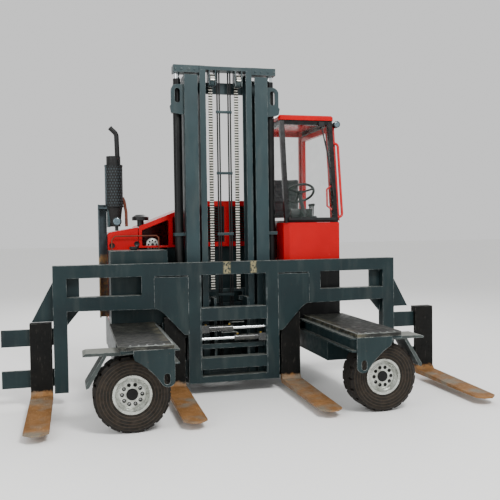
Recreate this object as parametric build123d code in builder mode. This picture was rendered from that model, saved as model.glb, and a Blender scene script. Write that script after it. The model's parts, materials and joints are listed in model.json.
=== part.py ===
# Multidirectional forklift: a low U-shaped chassis whose two arms carry the front wheels,
# a mast that reaches along the arms, and a wide fork frame that straddles them.
# Millimetres. +X runs across the machine to the cab side, -Y is the fork end, +Z is up.
# The origin is on the ground, under the middle of the machine.
from build123d import *
import math
import os

os.makedirs("parts", exist_ok=True)

# Running gear
track_half = 1048.0
front_axle_y = -1035.0
rear_axle_y = 820.0
tyre_radius = 297.5
tyre_width = 230.0
rim_radius = 152.0
rim_width = 200.0
hub_radius = 45.0
pin_clearance = 0.3
stud_circle_radius = 71.0
stud_count = 10
stud_hole_radius = 9.0
lug_count = 20
lug_gap = 20.0
lug_depth = 13.0
lug_length = 72.0
kingpin_radius = 60.0
steer_gap = 8.0

# Chassis arms and decks
arm_inner_x = 739.0
arm_outer_x = 1140.0
arm_wall = 16.0
arm_bottom_z = 362.0
deck_outer_x = 1156.0
deck_front_y = -1300.0
deck_top_z = 697.0
deck_thickness = 30.0
arm_plate_thickness = 22.0
wheelhouse_end_y = -630.0
body_front_y = 40.0
body_rear_y = 1150.0
counterweight_rear_y = 1300.0
body_half_width = 1136.0

# Reach rails
rail_depth = 39.0
rail_top_z = 662.0
rail_height = 114.0
rail_flange = 12.0
rail_front_y = -1285.0
rail_rear_y = 480.0

# Mast
mast_front_y = 83.0
mast_depth = 200.0
outer_column_inner_x = 283.0
outer_column_outer_x = 411.0
outer_bottom_z = 80.0
outer_top_z = 3039.0
mast_web = 20.0
mast_tie = 25.0
inner_column_inner_x = 200.0
inner_column_outer_x = 258.0
inner_setback = 25.0
inner_web = 15.0
inner_bottom_z = 140.0
inner_top_z = 3096.0
crown_top_z = 3137.0
lift_x = 465.0
lift_barrel_radius = 42.0
lift_rod_radius = 29.0
lift_bore_clearance = 1.0
barrel_bottom_z = 100.0
barrel_top_z = 2955.0
gland_height = 60.0
chain_x = 130.0
chain_y = 230.0
chain_pitch = 25.4
chain_width = 40.0
chain_thickness = 14.0
sheave_radius = 58.0

# Fork frame
frame_front_y = -116.0
frame_depth = 100.0
frame_plate = 20.0
frame_top_z = 1253.0
frame_bottom_z = 116.0
frame_half_width = 1650.0
leg_inner_x = frame_half_width - 120.0
top_beam_bottom_z = 1137.0
second_beam_top_z = 965.0
second_beam_bottom_z = 843.0
window_inner_x = 868.0
column_outer_x = 440.0
column_inner_x = 313.0
bar_end_x = frame_half_width + 450.0
upper_bar_z = (540.0, 690.0)
lower_bar_z = (170.0, 325.0)
bar_front_y = -38.0
bar_thickness = 24.0
inner_bar_end_x = 675.0

# Forks
fork_width = 190.0
fork_thickness = 45.0
fork_length = 1130.0
fork_gap = 7.0
fork_margin = 15.0
fork_end_margin = 5.0
inner_fork_margin = 30.0
fork_bottom_z = 60.0
fork_top_z = 745.0
hook_thickness = 16.0
hook_overlap = 55.0
tip_thickness = 14.0

# Cab
cab_inner_x = 560.0
cab_outer_x = body_half_width - 3.0
cab_corner = 50.0
cab_wall = 40.0
cab_floor_z = 1150.0
sill_z = 1615.0
roof_z = 2650.0
roof_thickness = 50.0
windscreen_rake = 150.0
door_front_y = 130.0
door_rear_y = 1100.0
door_gap = 6.0
glass_thickness = 8.0
hinge_radius = 9.0
hinge_length = 60.0
hinge_offset = 10.0
lower_hinge_z = 1330.0
upper_hinge_z = 2300.0

# Engine side
hood_front_y = 455.0
hood_rear_y = 1285.0
hood_sheet = 25.0
hood_bottom_z = 1385.0
hood_left_x = -832.0
hood_right_x = 540.0
hood_shoulder_z = 1598.0
hood_ridge = (-189.0, 1849.0)
hood_corner = 30.0
hood_hinge_radius = 6.5
hood_hinge_length = 90.0
hood_hinge_x = (-560.0, 270.0)
side_panel_x = 2.0 - body_half_width
tank_top_z = 1370.0
tank_right_x = -570.0
muffler_x = side_panel_x + 74.0
muffler_y = 560.0
muffler_radius = 88.0

sides = (("left", -1), ("right", 1))
frame_back_y = frame_front_y + frame_depth
mast_back_y = mast_front_y + mast_depth
lift_y = mast_front_y + 120
deck_bottom_z = deck_top_z - deck_thickness
arm_top_z = deck_bottom_z
arm_plate_bottom_z = arm_top_z - arm_plate_thickness
yoke_top_z = arm_plate_bottom_z - steer_gap
rear_plate_z = (arm_plate_bottom_z, arm_top_z)
axle_z = tyre_radius
hinge_x = cab_outer_x + hinge_offset
hood_hinge_y = hood_rear_y + hood_hinge_radius + 0.5
hood_hinge_z = hood_bottom_z + hood_hinge_radius + 0.5
hood_slope = (hood_ridge[1] - hood_shoulder_z) / (hood_ridge[0] - hood_left_x)


def box_between(x_range, y_range, z_range, mode=Mode.ADD):
    """Add a box by its low and high bounds along each axis."""
    centre = (
        (x_range[0] + x_range[1]) / 2,
        (y_range[0] + y_range[1]) / 2,
        (z_range[0] + z_range[1]) / 2,
    )
    with Locations(centre):
        Box(
            abs(x_range[1] - x_range[0]),
            abs(y_range[1] - y_range[0]),
            abs(z_range[1] - z_range[0]),
            mode=mode,
        )


def side_range(sign, low, high):
    """Mirror a pair of bounds to the left or right side of the machine."""
    return (min(sign * low, sign * high), max(sign * low, sign * high))


# Chassis arms: a box beam, an open wheelhouse roofed by the kingpin plate, and the reach rail
front_plate_thickness = 14.0
lug_centre = (800.0, 440.0)
lug_hole = (46.0, 84.0)
for name, sign in sides:
    with BuildPart() as arm:
        box_between(
            side_range(sign, arm_inner_x, arm_outer_x),
            (wheelhouse_end_y, body_rear_y),
            (arm_bottom_z, arm_top_z),
        )
        box_between(
            side_range(sign, arm_inner_x + arm_wall, arm_outer_x - arm_wall),
            (wheelhouse_end_y + arm_wall, body_rear_y),
            (arm_bottom_z + arm_wall, arm_top_z - arm_wall),
            mode=Mode.SUBTRACT,
        )
        box_between(
            side_range(sign, arm_inner_x, arm_outer_x),
            (deck_front_y + front_plate_thickness, wheelhouse_end_y),
            (arm_plate_bottom_z, arm_top_z),
        )
        for flange_z in (rail_top_z - rail_flange, rail_top_z - rail_height):
            box_between(
                side_range(sign, arm_inner_x - rail_depth, arm_inner_x),
                (rail_front_y, rail_rear_y),
                (flange_z, flange_z + rail_flange),
            )
        box_between(
            side_range(sign, arm_inner_x, arm_inner_x + arm_wall),
            (rail_front_y, wheelhouse_end_y),
            (rail_top_z - rail_height, arm_top_z),
        )
        with BuildSketch(Plane.XZ.offset(-deck_front_y)):
            with BuildLine():
                Polyline(
                    (sign * track_half, arm_top_z),
                    (sign * track_half, 620),
                    (sign * 1038, 592),
                )
                ThreePointArc(
                    (sign * 1038, 592),
                    (sign * 925, 508),
                    (sign * 841, 406),
                )
                ThreePointArc(
                    (sign * 841, 406),
                    (sign * 785, 379),
                    (sign * 739, 415),
                )
                Polyline(
                    (sign * 739, 415),
                    (sign * 739, arm_top_z),
                    (sign * track_half, arm_top_z),
                )
            make_face()
            with Locations((sign * lug_centre[0], lug_centre[1])):
                SlotOverall(lug_hole[1], lug_hole[0], rotation=90, mode=Mode.SUBTRACT)
        extrude(amount=-front_plate_thickness)
        with Locations((sign * track_half, front_axle_y, arm_top_z - arm_plate_thickness / 2)):
            Cylinder(
                kingpin_radius + pin_clearance,
                arm_plate_thickness + 2,
                mode=Mode.SUBTRACT,
            )
    arm.part.label = f"{name}_arm"
    export_step(arm.part, f"parts/{name}_arm.step")

# Decks over the arms, with rounded outer front corners and a turned-down steel nosing
deck_corner = 70.0
for name, sign in sides:
    with BuildPart() as deck:
        box_between(
            side_range(sign, arm_inner_x, deck_outer_x),
            (deck_front_y, body_front_y),
            (deck_bottom_z, deck_top_z),
        )
        outer_edges = deck.edges().filter_by(Axis.Z).sort_by(Axis.Y)[0:2].sort_by(Axis.X)
        fillet(outer_edges[0 if sign < 0 else -1], deck_corner)
    deck.part.label = f"{name}_deck"
    export_step(deck.part, f"parts/{name}_deck.step")

# Rear frame: platform over the drive wheel, a bulkhead behind the mast and the tail beam
platform_front_y = 500.0
bulkhead_thickness = 25.0
with BuildPart() as rear_frame:
    box_between((-arm_inner_x, arm_inner_x), (platform_front_y, body_rear_y), rear_plate_z)
    box_between(
        (-cab_inner_x + 15, cab_inner_x - 15),
        (platform_front_y, platform_front_y + bulkhead_thickness),
        (arm_top_z, hood_bottom_z - pin_clearance),
    )
    for rib_x in (-300.0, 300.0):
        box_between(
            (rib_x - 10, rib_x + 10),
            (platform_front_y + bulkhead_thickness, platform_front_y + 90),
            (arm_top_z, hood_bottom_z - pin_clearance),
        )
    with Locations((0, rear_axle_y, (rear_plate_z[0] + rear_plate_z[1]) / 2)):
        Cylinder(kingpin_radius + pin_clearance, arm_plate_thickness + 2, mode=Mode.SUBTRACT)
rear_frame.part.label = "rear_frame"
export_step(rear_frame.part, "parts/rear_frame.step")

# Counterweight casting across the tail, with softened upright corners
with BuildPart() as counterweight:
    box_between(
        (-body_half_width, body_half_width),
        (body_rear_y, counterweight_rear_y),
        (330, hood_bottom_z - pin_clearance),
    )
    rear_uprights = counterweight.edges().filter_by(Axis.Z).sort_by(Axis.Y)[2:4]
    fillet(rear_uprights, 90)
    for knuckle_x in hood_hinge_x:
        box_between(
            (knuckle_x, knuckle_x + hood_hinge_length),
            (hood_hinge_y - hood_hinge_radius + 0.3, hood_hinge_y + hood_hinge_radius - 0.3),
            (hood_bottom_z - 2, hood_hinge_z),
        )
        with Locations(
            Location((knuckle_x + hood_hinge_length / 2, hood_hinge_y, hood_hinge_z), (0, 90, 0))
        ):
            Cylinder(hood_hinge_radius, hood_hinge_length)
counterweight.part.label = "counterweight"
export_step(counterweight.part, "parts/counterweight.step")

# Hydraulic tank ahead of the engine, with a sloping end towards the mast
with BuildPart() as tank:
    with BuildSketch(Plane.XZ.offset(-body_front_y)):
        with BuildLine():
            Polyline(
                (-body_half_width, arm_top_z),
                (-body_half_width, tank_top_z),
                (tank_right_x - 37, tank_top_z),
                (tank_right_x, arm_top_z),
                close=True,
            )
        make_face()
    extrude(amount=-(hood_front_y - body_front_y))
tank.part.label = "hydraulic_tank"
export_step(tank.part, "parts/hydraulic_tank.step")


# Wheels: solid tyre with shoulder lugs on a dished disc rim, axis along Y at rest
def wheel_place(x, y):
    """Plane whose Z axis is the wheel axle, pointing to the machine's tail."""
    return Plane(origin=(x, y, axle_z), x_dir=(1, 0, 0), z_dir=(0, 1, 0))


wheels = (
    # node prefix, x, y
    ("left_front", -track_half, front_axle_y),
    ("right_front", track_half, front_axle_y),
    ("rear", 0.0, rear_axle_y),
)
half_tyre = tyre_width / 2
half_rim = rim_width / 2
for name, wheel_x, wheel_y in wheels:
    place = wheel_place(wheel_x, wheel_y)
    section = Plane(origin=place.origin, x_dir=(1, 0, 0), z_dir=(0, 0, 1))
    with BuildPart() as tyre:
        with BuildSketch(section):
            with BuildLine():
                Polyline(
                    (rim_radius, -half_rim),
                    (rim_radius + 14, -half_rim),
                    (rim_radius + 60, -half_tyre),
                    (tyre_radius - 32, -half_tyre),
                    (tyre_radius, -half_tyre + 26),
                    (tyre_radius, half_tyre - 26),
                    (tyre_radius - 32, half_tyre),
                    (rim_radius + 60, half_tyre),
                    (rim_radius + 14, half_rim),
                    (rim_radius, half_rim),
                    close=True,
                )
            make_face()
        revolve(axis=Axis(place.origin, place.z_dir))
        for end in (-1, 1):
            with Locations(place.offset(end * (half_tyre - lug_length / 2 + 1))):
                with PolarLocations(tyre_radius - lug_depth / 2 + 1, lug_count, 4.5 * (1 + end)):
                    Box(lug_depth + 2, lug_gap, lug_length, mode=Mode.SUBTRACT)
    tyre.part.label = f"{name}_tyre"
    export_step(tyre.part, f"parts/{name}_tyre.step")

    with BuildPart() as rim:
        with BuildSketch(section):
            with BuildLine():
                Polyline(
                    (hub_radius + pin_clearance, -74),
                    (96, -74),
                    (118, -66),
                    (132, -88),
                    (132, -half_rim),
                    (rim_radius, -half_rim),
                    (rim_radius, half_rim),
                    (136, half_rim),
                    (136, -40),
                    (96, -44),
                    (hub_radius + 22, -44),
                    (hub_radius + 22, 60),
                    (hub_radius + pin_clearance, 60),
                    close=True,
                )
            make_face()
        revolve(axis=Axis(place.origin, place.z_dir))
        with Locations(place.offset(-60)):
            with PolarLocations(stud_circle_radius + 6, stud_count):
                Cylinder(stud_hole_radius, 60, mode=Mode.SUBTRACT)
    rim.part.label = f"{name}_rim"
    export_step(rim.part, f"parts/{name}_rim.step")

# Steering yokes: kingpin, cranked leg behind the wheel and stub axle; front ones carry a guard
leg_y = (half_tyre + 8, half_tyre + 52)
leg_half_width = 85.0
yokes = (
    # node, x, y, side the guard points to, or 0 without one
    ("left_yoke", -track_half, front_axle_y, -1),
    ("right_yoke", track_half, front_axle_y, 1),
    ("rear_yoke", 0.0, rear_axle_y, 0),
)
guard_reach = 367.0
guard_half_width = 112.0
guard_plate = 14.0
for name, yoke_x, yoke_y, guard in yokes:
    with BuildPart() as yoke:
        box_between(
            (yoke_x - leg_half_width, yoke_x + leg_half_width),
            (yoke_y - 100, yoke_y + leg_y[1]),
            (yoke_top_z - 28, yoke_top_z),
        )
        with BuildSketch(Plane.XZ.offset(-(yoke_y + leg_y[0]))):
            with BuildLine():
                Polyline(
                    (yoke_x - leg_half_width, yoke_top_z),
                    (yoke_x - leg_half_width, yoke_top_z - 90),
                    (yoke_x - 62, axle_z),
                )
                ThreePointArc(
                    (yoke_x - 62, axle_z),
                    (yoke_x, axle_z - 62),
                    (yoke_x + 62, axle_z),
                )
                Polyline(
                    (yoke_x + 62, axle_z),
                    (yoke_x + leg_half_width, yoke_top_z - 90),
                    (yoke_x + leg_half_width, yoke_top_z),
                    (yoke_x - leg_half_width, yoke_top_z),
                )
            make_face()
        extrude(amount=-(leg_y[1] - leg_y[0]))
        with Locations(Plane.XZ.offset(-(yoke_y + leg_y[0]))):
            with Locations((yoke_x, axle_z, 0)):
                Cylinder(
                    hub_radius,
                    leg_y[0] + 78,
                    align=(Align.CENTER, Align.CENTER, Align.MIN),
                )
        with Locations((yoke_x, yoke_y, yoke_top_z)):
            Cylinder(
                kingpin_radius + 35,
                steer_gap - pin_clearance,
                align=(Align.CENTER, Align.CENTER, Align.MIN),
            )
            Cylinder(
                kingpin_radius,
                steer_gap + arm_plate_thickness - 4,
                align=(Align.CENTER, Align.CENTER, Align.MIN),
            )
        if guard:
            with BuildSketch(Plane.XZ.offset(-(yoke_y - guard_half_width))):
                with BuildLine():
                    Polyline(
                        (yoke_x + guard * 80, yoke_top_z),
                        (yoke_x + guard * (guard_reach - 25), yoke_top_z),
                        (yoke_x + guard * guard_reach, yoke_top_z - 10),
                        (yoke_x + guard * guard_reach, yoke_top_z - 24),
                        (yoke_x + guard * 214, yoke_top_z - 24),
                        (yoke_x + guard * 350, 392),
                        (yoke_x + guard * 344, 366),
                        (yoke_x + guard * 322, 376),
                        (yoke_x + guard * 188, yoke_top_z - 28),
                        (yoke_x + guard * 80, yoke_top_z - 28),
                        close=True,
                    )
                make_face()
            extrude(amount=-2 * guard_half_width)
    yoke.part.label = name
    export_step(yoke.part, f"parts/{name}.step")

# Reach carriage: a cross beam behind the mast with rollers in the arms' rails
carriage_side_x = 620.0
roller_radius = rail_height / 2 - rail_flange - pin_clearance
roller_z = rail_top_z - rail_height / 2
carriage_rear_y = 450.0
roller_places = (mast_front_y + 62, carriage_rear_y - 45)
with BuildPart() as reach_carriage:
    box_between(
        (-carriage_side_x, carriage_side_x),
        (mast_back_y + mast_tie, carriage_rear_y),
        (200, 560),
    )
    box_between(
        (-carriage_side_x + 30, carriage_side_x - 30),
        (mast_back_y + mast_tie + 25, carriage_rear_y - 25),
        (190, 520),
        mode=Mode.SUBTRACT,
    )
    for sign in (-1, 1):
        box_between(
            side_range(sign, carriage_side_x, carriage_side_x + 25),
            (mast_front_y, carriage_rear_y),
            (440, 640),
        )
        box_between(
            side_range(sign, outer_column_outer_x, carriage_side_x),
            (mast_back_y - 30, mast_back_y + mast_tie),
            (380, 480),
        )
        for roller_y in roller_places:
            with Locations(Location((sign * (carriage_side_x + 69), roller_y, roller_z), (0, 90, 0))):
                Cylinder(roller_radius, 88)
reach_carriage.part.label = "reach_carriage"
export_step(reach_carriage.part, "parts/reach_carriage.step")

# Outer mast: two channels open to the middle, tied across the back, with lifting eyes
eye_z = (2740.0, 2950.0)
eye_outer_x = 535.0
with BuildPart() as outer_mast:
    for sign in (-1, 1):
        box_between(
            side_range(sign, outer_column_inner_x, outer_column_outer_x),
            (mast_front_y, mast_front_y + mast_depth),
            (outer_bottom_z, outer_top_z),
        )
        box_between(
            side_range(sign, outer_column_inner_x - 1, outer_column_outer_x - mast_web),
            (mast_front_y + mast_web, mast_front_y + mast_depth - mast_web),
            (outer_bottom_z - 1, outer_top_z + 1),
            mode=Mode.SUBTRACT,
        )
        with BuildSketch(Plane.XZ.offset(-(mast_front_y + 60))):
            with BuildLine():
                Polyline(
                    (sign * outer_column_outer_x, eye_z[1]),
                    (sign * (eye_outer_x - 60), eye_z[1]),
                )
                ThreePointArc(
                    (sign * (eye_outer_x - 60), eye_z[1]),
                    (sign * (eye_outer_x - 18), eye_z[1] - 18),
                    (sign * eye_outer_x, eye_z[1] - 60),
                )
                Polyline(
                    (sign * eye_outer_x, eye_z[1] - 60),
                    (sign * eye_outer_x, eye_z[0] + 20),
                    (sign * (eye_outer_x + 12), eye_z[0]),
                    (sign * eye_outer_x, eye_z[0] - 60),
                    (sign * outer_column_outer_x, eye_z[0] - 80),
                    (sign * outer_column_outer_x, eye_z[1]),
                )
            make_face()
            with Locations((sign * (outer_column_outer_x + 62), (eye_z[0] + eye_z[1]) / 2)):
                SlotOverall(140, 50, rotation=90, mode=Mode.SUBTRACT)
        extrude(amount=22)
        for bracket_z in (300.0, 1500.0, 2690.0):
            box_between(
                side_range(sign, outer_column_outer_x, lift_x + lift_barrel_radius + 8),
                (lift_y - 55, lift_y + 55),
                (bracket_z, bracket_z + 30),
            )
        with Locations((sign * lift_x, lift_y, (barrel_bottom_z + barrel_top_z) / 2)):
            Cylinder(
                lift_barrel_radius,
                barrel_top_z - barrel_bottom_z,
                mode=Mode.SUBTRACT,
            )
        box_between(
            side_range(sign, outer_column_outer_x, lift_x + lift_barrel_radius + 8),
            (mast_front_y + 60, mast_front_y + 180),
            (barrel_bottom_z - 20, barrel_bottom_z),
        )
    for tie_z, tie_height in ((110.0, 180.0), (795.0, 170.0), (2900.0, 110.0)):
        box_between(
            (-outer_column_outer_x, outer_column_outer_x),
            (mast_back_y, mast_back_y + mast_tie),
            (tie_z, tie_z + tie_height),
        )
    with BuildSketch(Plane.XZ.offset(-mast_back_y + 1)):
        with Locations((0, 880)):
            RectangleRounded(360, 110, 12)
    extrude(amount=-(mast_tie + 2), mode=Mode.SUBTRACT)
outer_mast.part.label = "outer_mast"
export_step(outer_mast.part, "parts/outer_mast.step")

# Lift cylinders: bored barrels with a gland on top, one outboard of each column
with BuildPart() as lift_cylinders:
    for sign in (-1, 1):
        with Locations((sign * lift_x, lift_y, barrel_bottom_z)):
            Cylinder(
                lift_barrel_radius,
                barrel_top_z - barrel_bottom_z,
                align=(Align.CENTER, Align.CENTER, Align.MIN),
            )
        with Locations((sign * lift_x, lift_y, barrel_top_z)):
            Cylinder(
                lift_barrel_radius - 5,
                gland_height,
                align=(Align.CENTER, Align.CENTER, Align.MIN),
            )
        with Locations((sign * lift_x, lift_y, barrel_bottom_z + 25)):
            Cylinder(
                lift_rod_radius + lift_bore_clearance,
                barrel_top_z,
                align=(Align.CENTER, Align.CENTER, Align.MIN),
                mode=Mode.SUBTRACT,
            )
lift_cylinders.part.label = "lift_cylinders"
export_step(lift_cylinders.part, "parts/lift_cylinders.step")

# Inner mast: two smaller channels nested inside, rollers in the outer ones, and the crown
inner_front_y = mast_front_y + inner_setback
inner_back_y = mast_front_y + mast_depth - inner_setback
sheave_y = chain_y - sheave_radius
sheave_z = crown_top_z - 140
crown_bottom_z = outer_top_z + 7
with BuildPart() as inner_mast:
    for sign in (-1, 1):
        box_between(
            side_range(sign, inner_column_inner_x, inner_column_outer_x),
            (inner_front_y, inner_back_y),
            (inner_bottom_z, inner_top_z),
        )
        box_between(
            side_range(sign, inner_column_inner_x - 1, inner_column_outer_x - inner_web),
            (inner_front_y + inner_web, inner_back_y - inner_web),
            (inner_bottom_z - 1, inner_top_z + 1),
            mode=Mode.SUBTRACT,
        )
        for roller_height in (260.0, 620.0):
            with Locations(
                Location(
                    (sign * (inner_column_outer_x + 61), mast_front_y + mast_depth / 2, roller_height),
                    (0, 90, 0),
                )
            ):
                Cylinder(mast_depth / 2 - mast_web - pin_clearance, 122)
        box_between(
            side_range(sign, inner_column_inner_x, lift_x + lift_barrel_radius),
            (mast_front_y + 40, mast_front_y + 170),
            (crown_bottom_z + 22, crown_top_z),
        )
        box_between(
            side_range(sign, chain_x - 36, chain_x - 26),
            (sheave_y - 60, sheave_y + 60),
            (sheave_z - 45, crown_top_z - 41),
        )
        box_between(
            side_range(sign, chain_x + 26, chain_x + 36),
            (sheave_y - 60, sheave_y + 60),
            (sheave_z - 45, crown_top_z - 41),
        )
        with Locations(
            Location((sign * chain_x, sheave_y, sheave_z), (0, 90, 0))
        ):
            Cylinder(sheave_radius - pin_clearance, chain_width)
            Cylinder(18, 54)
    box_between(
        (-inner_column_outer_x, inner_column_outer_x),
        (sheave_y - 60, sheave_y + 60),
        (crown_top_z - 41, crown_top_z - 5),
    )
    box_between(
        (-inner_column_outer_x, inner_column_outer_x),
        (inner_back_y, inner_back_y + 16),
        (inner_bottom_z, inner_bottom_z + 120),
    )
inner_mast.part.label = "inner_mast"
export_step(inner_mast.part, "parts/inner_mast.step")

# Lift rods: chromed rods from the bores up to the crown
with BuildPart() as lift_rods:
    for sign in (-1, 1):
        with Locations((sign * lift_x, lift_y, barrel_bottom_z + 60)):
            Cylinder(
                lift_rod_radius,
                crown_bottom_z + 22 - barrel_bottom_z - 60,
                align=(Align.CENTER, Align.CENTER, Align.MIN),
            )
lift_rods.part.label = "lift_rods"
export_step(lift_rods.part, "parts/lift_rods.step")

# Lift chains: leaf chains that run over the sheaves, with every link plate stepped
chain_bottom_z = 960.0
link_count = int((sheave_z - chain_bottom_z) / chain_pitch)
link_step = 4.0
with BuildPart() as lift_chains:
    for sign in (-1, 1):
        chain_left = sign * chain_x - chain_width / 2
        box_between(
            (chain_left, chain_left + chain_width),
            (chain_y + link_step, chain_y + chain_thickness),
            (chain_bottom_z, sheave_z),
        )
        link_places = [
            (sign * chain_x, chain_y + link_step / 2, sheave_z - (link + 0.25) * chain_pitch)
            for link in range(link_count)
        ]
        with Locations(link_places):
            Box(chain_width, link_step, chain_pitch / 2)
        with BuildSketch(Plane.YZ.offset(chain_left)):
            with Locations((sheave_y, sheave_z)):
                Circle(sheave_radius + chain_thickness)
                Circle(sheave_radius, mode=Mode.SUBTRACT)
            with Locations((sheave_y, sheave_z - 100)):
                Rectangle(300, 200, mode=Mode.SUBTRACT)
        extrude(amount=chain_width)
lift_chains.part.label = "lift_chains"
export_step(lift_chains.part, "parts/lift_chains.step")

# Fork frame: a front plate with windows and wheel arches, boxed behind, with fork bars
with BuildPart() as fork_frame:
    with BuildSketch(Plane.XZ.offset(-frame_front_y)):
        with Locations((0, (frame_top_z + frame_bottom_z) / 2)):
            Rectangle(2 * frame_half_width, frame_top_z - frame_bottom_z)
        for sign in (-1, 1):
            with BuildLine():
                Polyline(
                    (sign * leg_inner_x, frame_bottom_z - 1),
                    (sign * leg_inner_x, second_beam_bottom_z),
                    (sign * 735, 833),
                )
                ThreePointArc((sign * 735, 833), (sign * 690, 808), (sign * 648, 768))
                Polyline((sign * 648, 768), (sign * 486, 590))
                ThreePointArc(
                    (sign * 486, 590),
                    (sign * 466, 582),
                    (sign * column_outer_x, 580),
                )
                Polyline(
                    (sign * column_outer_x, 580),
                    (sign * column_outer_x, frame_bottom_z - 1),
                    (sign * leg_inner_x, frame_bottom_z - 1),
                )
            make_face(mode=Mode.SUBTRACT)
            with Locations(
                (sign * (window_inner_x + leg_inner_x) / 2, (top_beam_bottom_z + second_beam_top_z) / 2)
            ):
                Rectangle(
                    leg_inner_x - window_inner_x,
                    top_beam_bottom_z - second_beam_top_z,
                    mode=Mode.SUBTRACT,
                )
            with Locations((sign * (column_inner_x + window_inner_x) / 2, top_beam_bottom_z - 8)):
                SlotOverall(310, 10, mode=Mode.SUBTRACT)
        for low, high in ((176, 241), (350, 700), (823, 1135)):
            with Locations((0, (low + high) / 2)):
                Rectangle(2 * column_inner_x, high - low, mode=Mode.SUBTRACT)
    extrude(amount=-frame_plate)
    behind_y = (frame_front_y + frame_plate, frame_back_y)
    box_between((-frame_half_width, frame_half_width), behind_y, (top_beam_bottom_z, frame_top_z))
    for low, high in ((frame_bottom_z, 176), (241, 350), (700, 823)):
        box_between((-column_outer_x, column_outer_x), behind_y, (low, high))
    box_between(
        (-column_inner_x, column_inner_x),
        (frame_back_y - 30, frame_back_y),
        (425, 470),
    )
    for sign in (-1, 1):
        box_between(
            side_range(sign, column_inner_x, frame_half_width),
            behind_y,
            (second_beam_bottom_z + 7, second_beam_top_z),
        )
        box_between(
            side_range(sign, column_inner_x, column_outer_x),
            behind_y,
            (frame_bottom_z, frame_top_z),
        )
        box_between(
            side_range(sign, leg_inner_x, frame_half_width),
            behind_y,
            (frame_bottom_z + 6, frame_top_z),
        )
        with BuildSketch(Plane.XZ.offset(-frame_back_y + 20)):
            with BuildLine():
                Polyline(
                    (sign * (leg_inner_x - 110), frame_top_z - 20),
                    (sign * (leg_inner_x - 110), second_beam_bottom_z),
                    (sign * leg_inner_x, 710),
                    (sign * leg_inner_x, 752),
                    (sign * (frame_half_width + 190), 752),
                    (sign * frame_half_width, 1110),
                    (sign * frame_half_width, frame_top_z - 20),
                    close=True,
                )
            make_face()
        extrude(amount=-20)
        for low, high in (upper_bar_z, lower_bar_z):
            box_between(
                side_range(sign, frame_half_width, bar_end_x),
                (bar_front_y, bar_front_y + bar_thickness),
                (low, high),
            )
            box_between(
                side_range(sign, column_outer_x, inner_bar_end_x),
                (bar_front_y, bar_front_y + bar_thickness),
                (low, high),
            )
        box_between(
            side_range(sign, 152, 172),
            (frame_back_y, chain_y - 5),
            (300, 900),
        )
        for cross_z in (700, 241):
            box_between(
                side_range(sign, 152, column_outer_x - 20),
                (frame_back_y - 20, frame_back_y),
                (cross_z, cross_z + 109),
            )
        for roller_height in (360.0, 840.0):
            with Locations(
                Location((sign * 205, (inner_front_y + inner_back_y) / 2, roller_height), (0, 90, 0))
            ):
                Cylinder(mast_depth / 2 - inner_setback - inner_web - pin_clearance, 66)
        box_between(
            side_range(sign, chain_x - 15, 172),
            (chain_y - 70, chain_y - 12),
            (860, 900),
        )
fork_frame.part.label = "fork_frame"
export_step(fork_frame.part, "parts/fork_frame.step")

# Positioner cylinders in the middle window of the fork frame, one stroking each way
positioner_y = frame_front_y + 50
with BuildPart() as positioners:
    for sign, height in ((-1, 620.0), (1, 525.0)):
        with Locations(Location((sign * 150, positioner_y, height), (0, 90, 0))):
            Cylinder(32, 290)
        with Locations(Location((-sign * 145, positioner_y, height), (0, 90, 0))):
            Cylinder(16, 330)
        box_between(
            side_range(sign, 240, 312.7),
            (positioner_y - 38, positioner_y + 38),
            (height - 36, height + 36),
        )
positioners.part.label = "positioner_cylinders"
export_step(positioners.part, "parts/positioner_cylinders.step")

# Forks: forged L with a tapered blade, hooked over the bars
shank_front_y = bar_front_y - fork_gap - fork_thickness
shank_back_y = bar_front_y - fork_gap
lip_y = bar_front_y + bar_thickness + 6
forks = (
    # node, centre x
    ("left_outer_fork", -frame_half_width - fork_margin - fork_width / 2),
    ("left_inner_fork", -column_outer_x - inner_fork_margin - fork_width / 2),
    ("right_inner_fork", column_outer_x + inner_fork_margin + fork_width / 2),
    ("right_outer_fork", bar_end_x - fork_end_margin - fork_width / 2),
)
for name, fork_x in forks:
    with BuildPart() as fork:
        with BuildSketch(Plane.YZ.offset(fork_x - fork_width / 2)):
            with BuildLine():
                Polyline(
                    (shank_back_y, fork_top_z),
                    (shank_front_y, fork_top_z),
                    (shank_front_y, fork_bottom_z + fork_thickness + 30),
                    (shank_front_y - 30, fork_bottom_z + fork_thickness),
                    (shank_front_y - fork_length, fork_bottom_z + tip_thickness),
                    (shank_front_y - fork_length, fork_bottom_z),
                    (shank_back_y - 40, fork_bottom_z),
                    (shank_back_y, fork_bottom_z + 40),
                    close=True,
                )
            make_face()
            with BuildLine():
                Polyline(
                    (shank_back_y, fork_top_z),
                    (lip_y + hook_thickness, fork_top_z),
                    (lip_y + hook_thickness, upper_bar_z[1] - hook_overlap),
                    (lip_y, upper_bar_z[1] - hook_overlap),
                    (lip_y, upper_bar_z[1] + pin_clearance),
                    (shank_back_y, upper_bar_z[1] + pin_clearance),
                    close=True,
                )
            make_face()
            with BuildLine():
                Polyline(
                    (shank_back_y, lower_bar_z[0] - 6),
                    (lip_y, lower_bar_z[0] - 6),
                    (lip_y, lower_bar_z[0] + hook_overlap),
                    (lip_y + hook_thickness, lower_bar_z[0] + hook_overlap),
                    (lip_y + hook_thickness, lower_bar_z[0] - 40),
                    (shank_back_y, lower_bar_z[0] - 40),
                    close=True,
                )
            make_face()
        extrude(amount=fork_width)
        tip_corners = fork.edges().filter_by(Axis.Z).sort_by(Axis.Y)[0:2]
        chamfer(tip_corners, 60)
    fork.part.label = name
    export_step(fork.part, f"parts/{name}.step")

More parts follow.
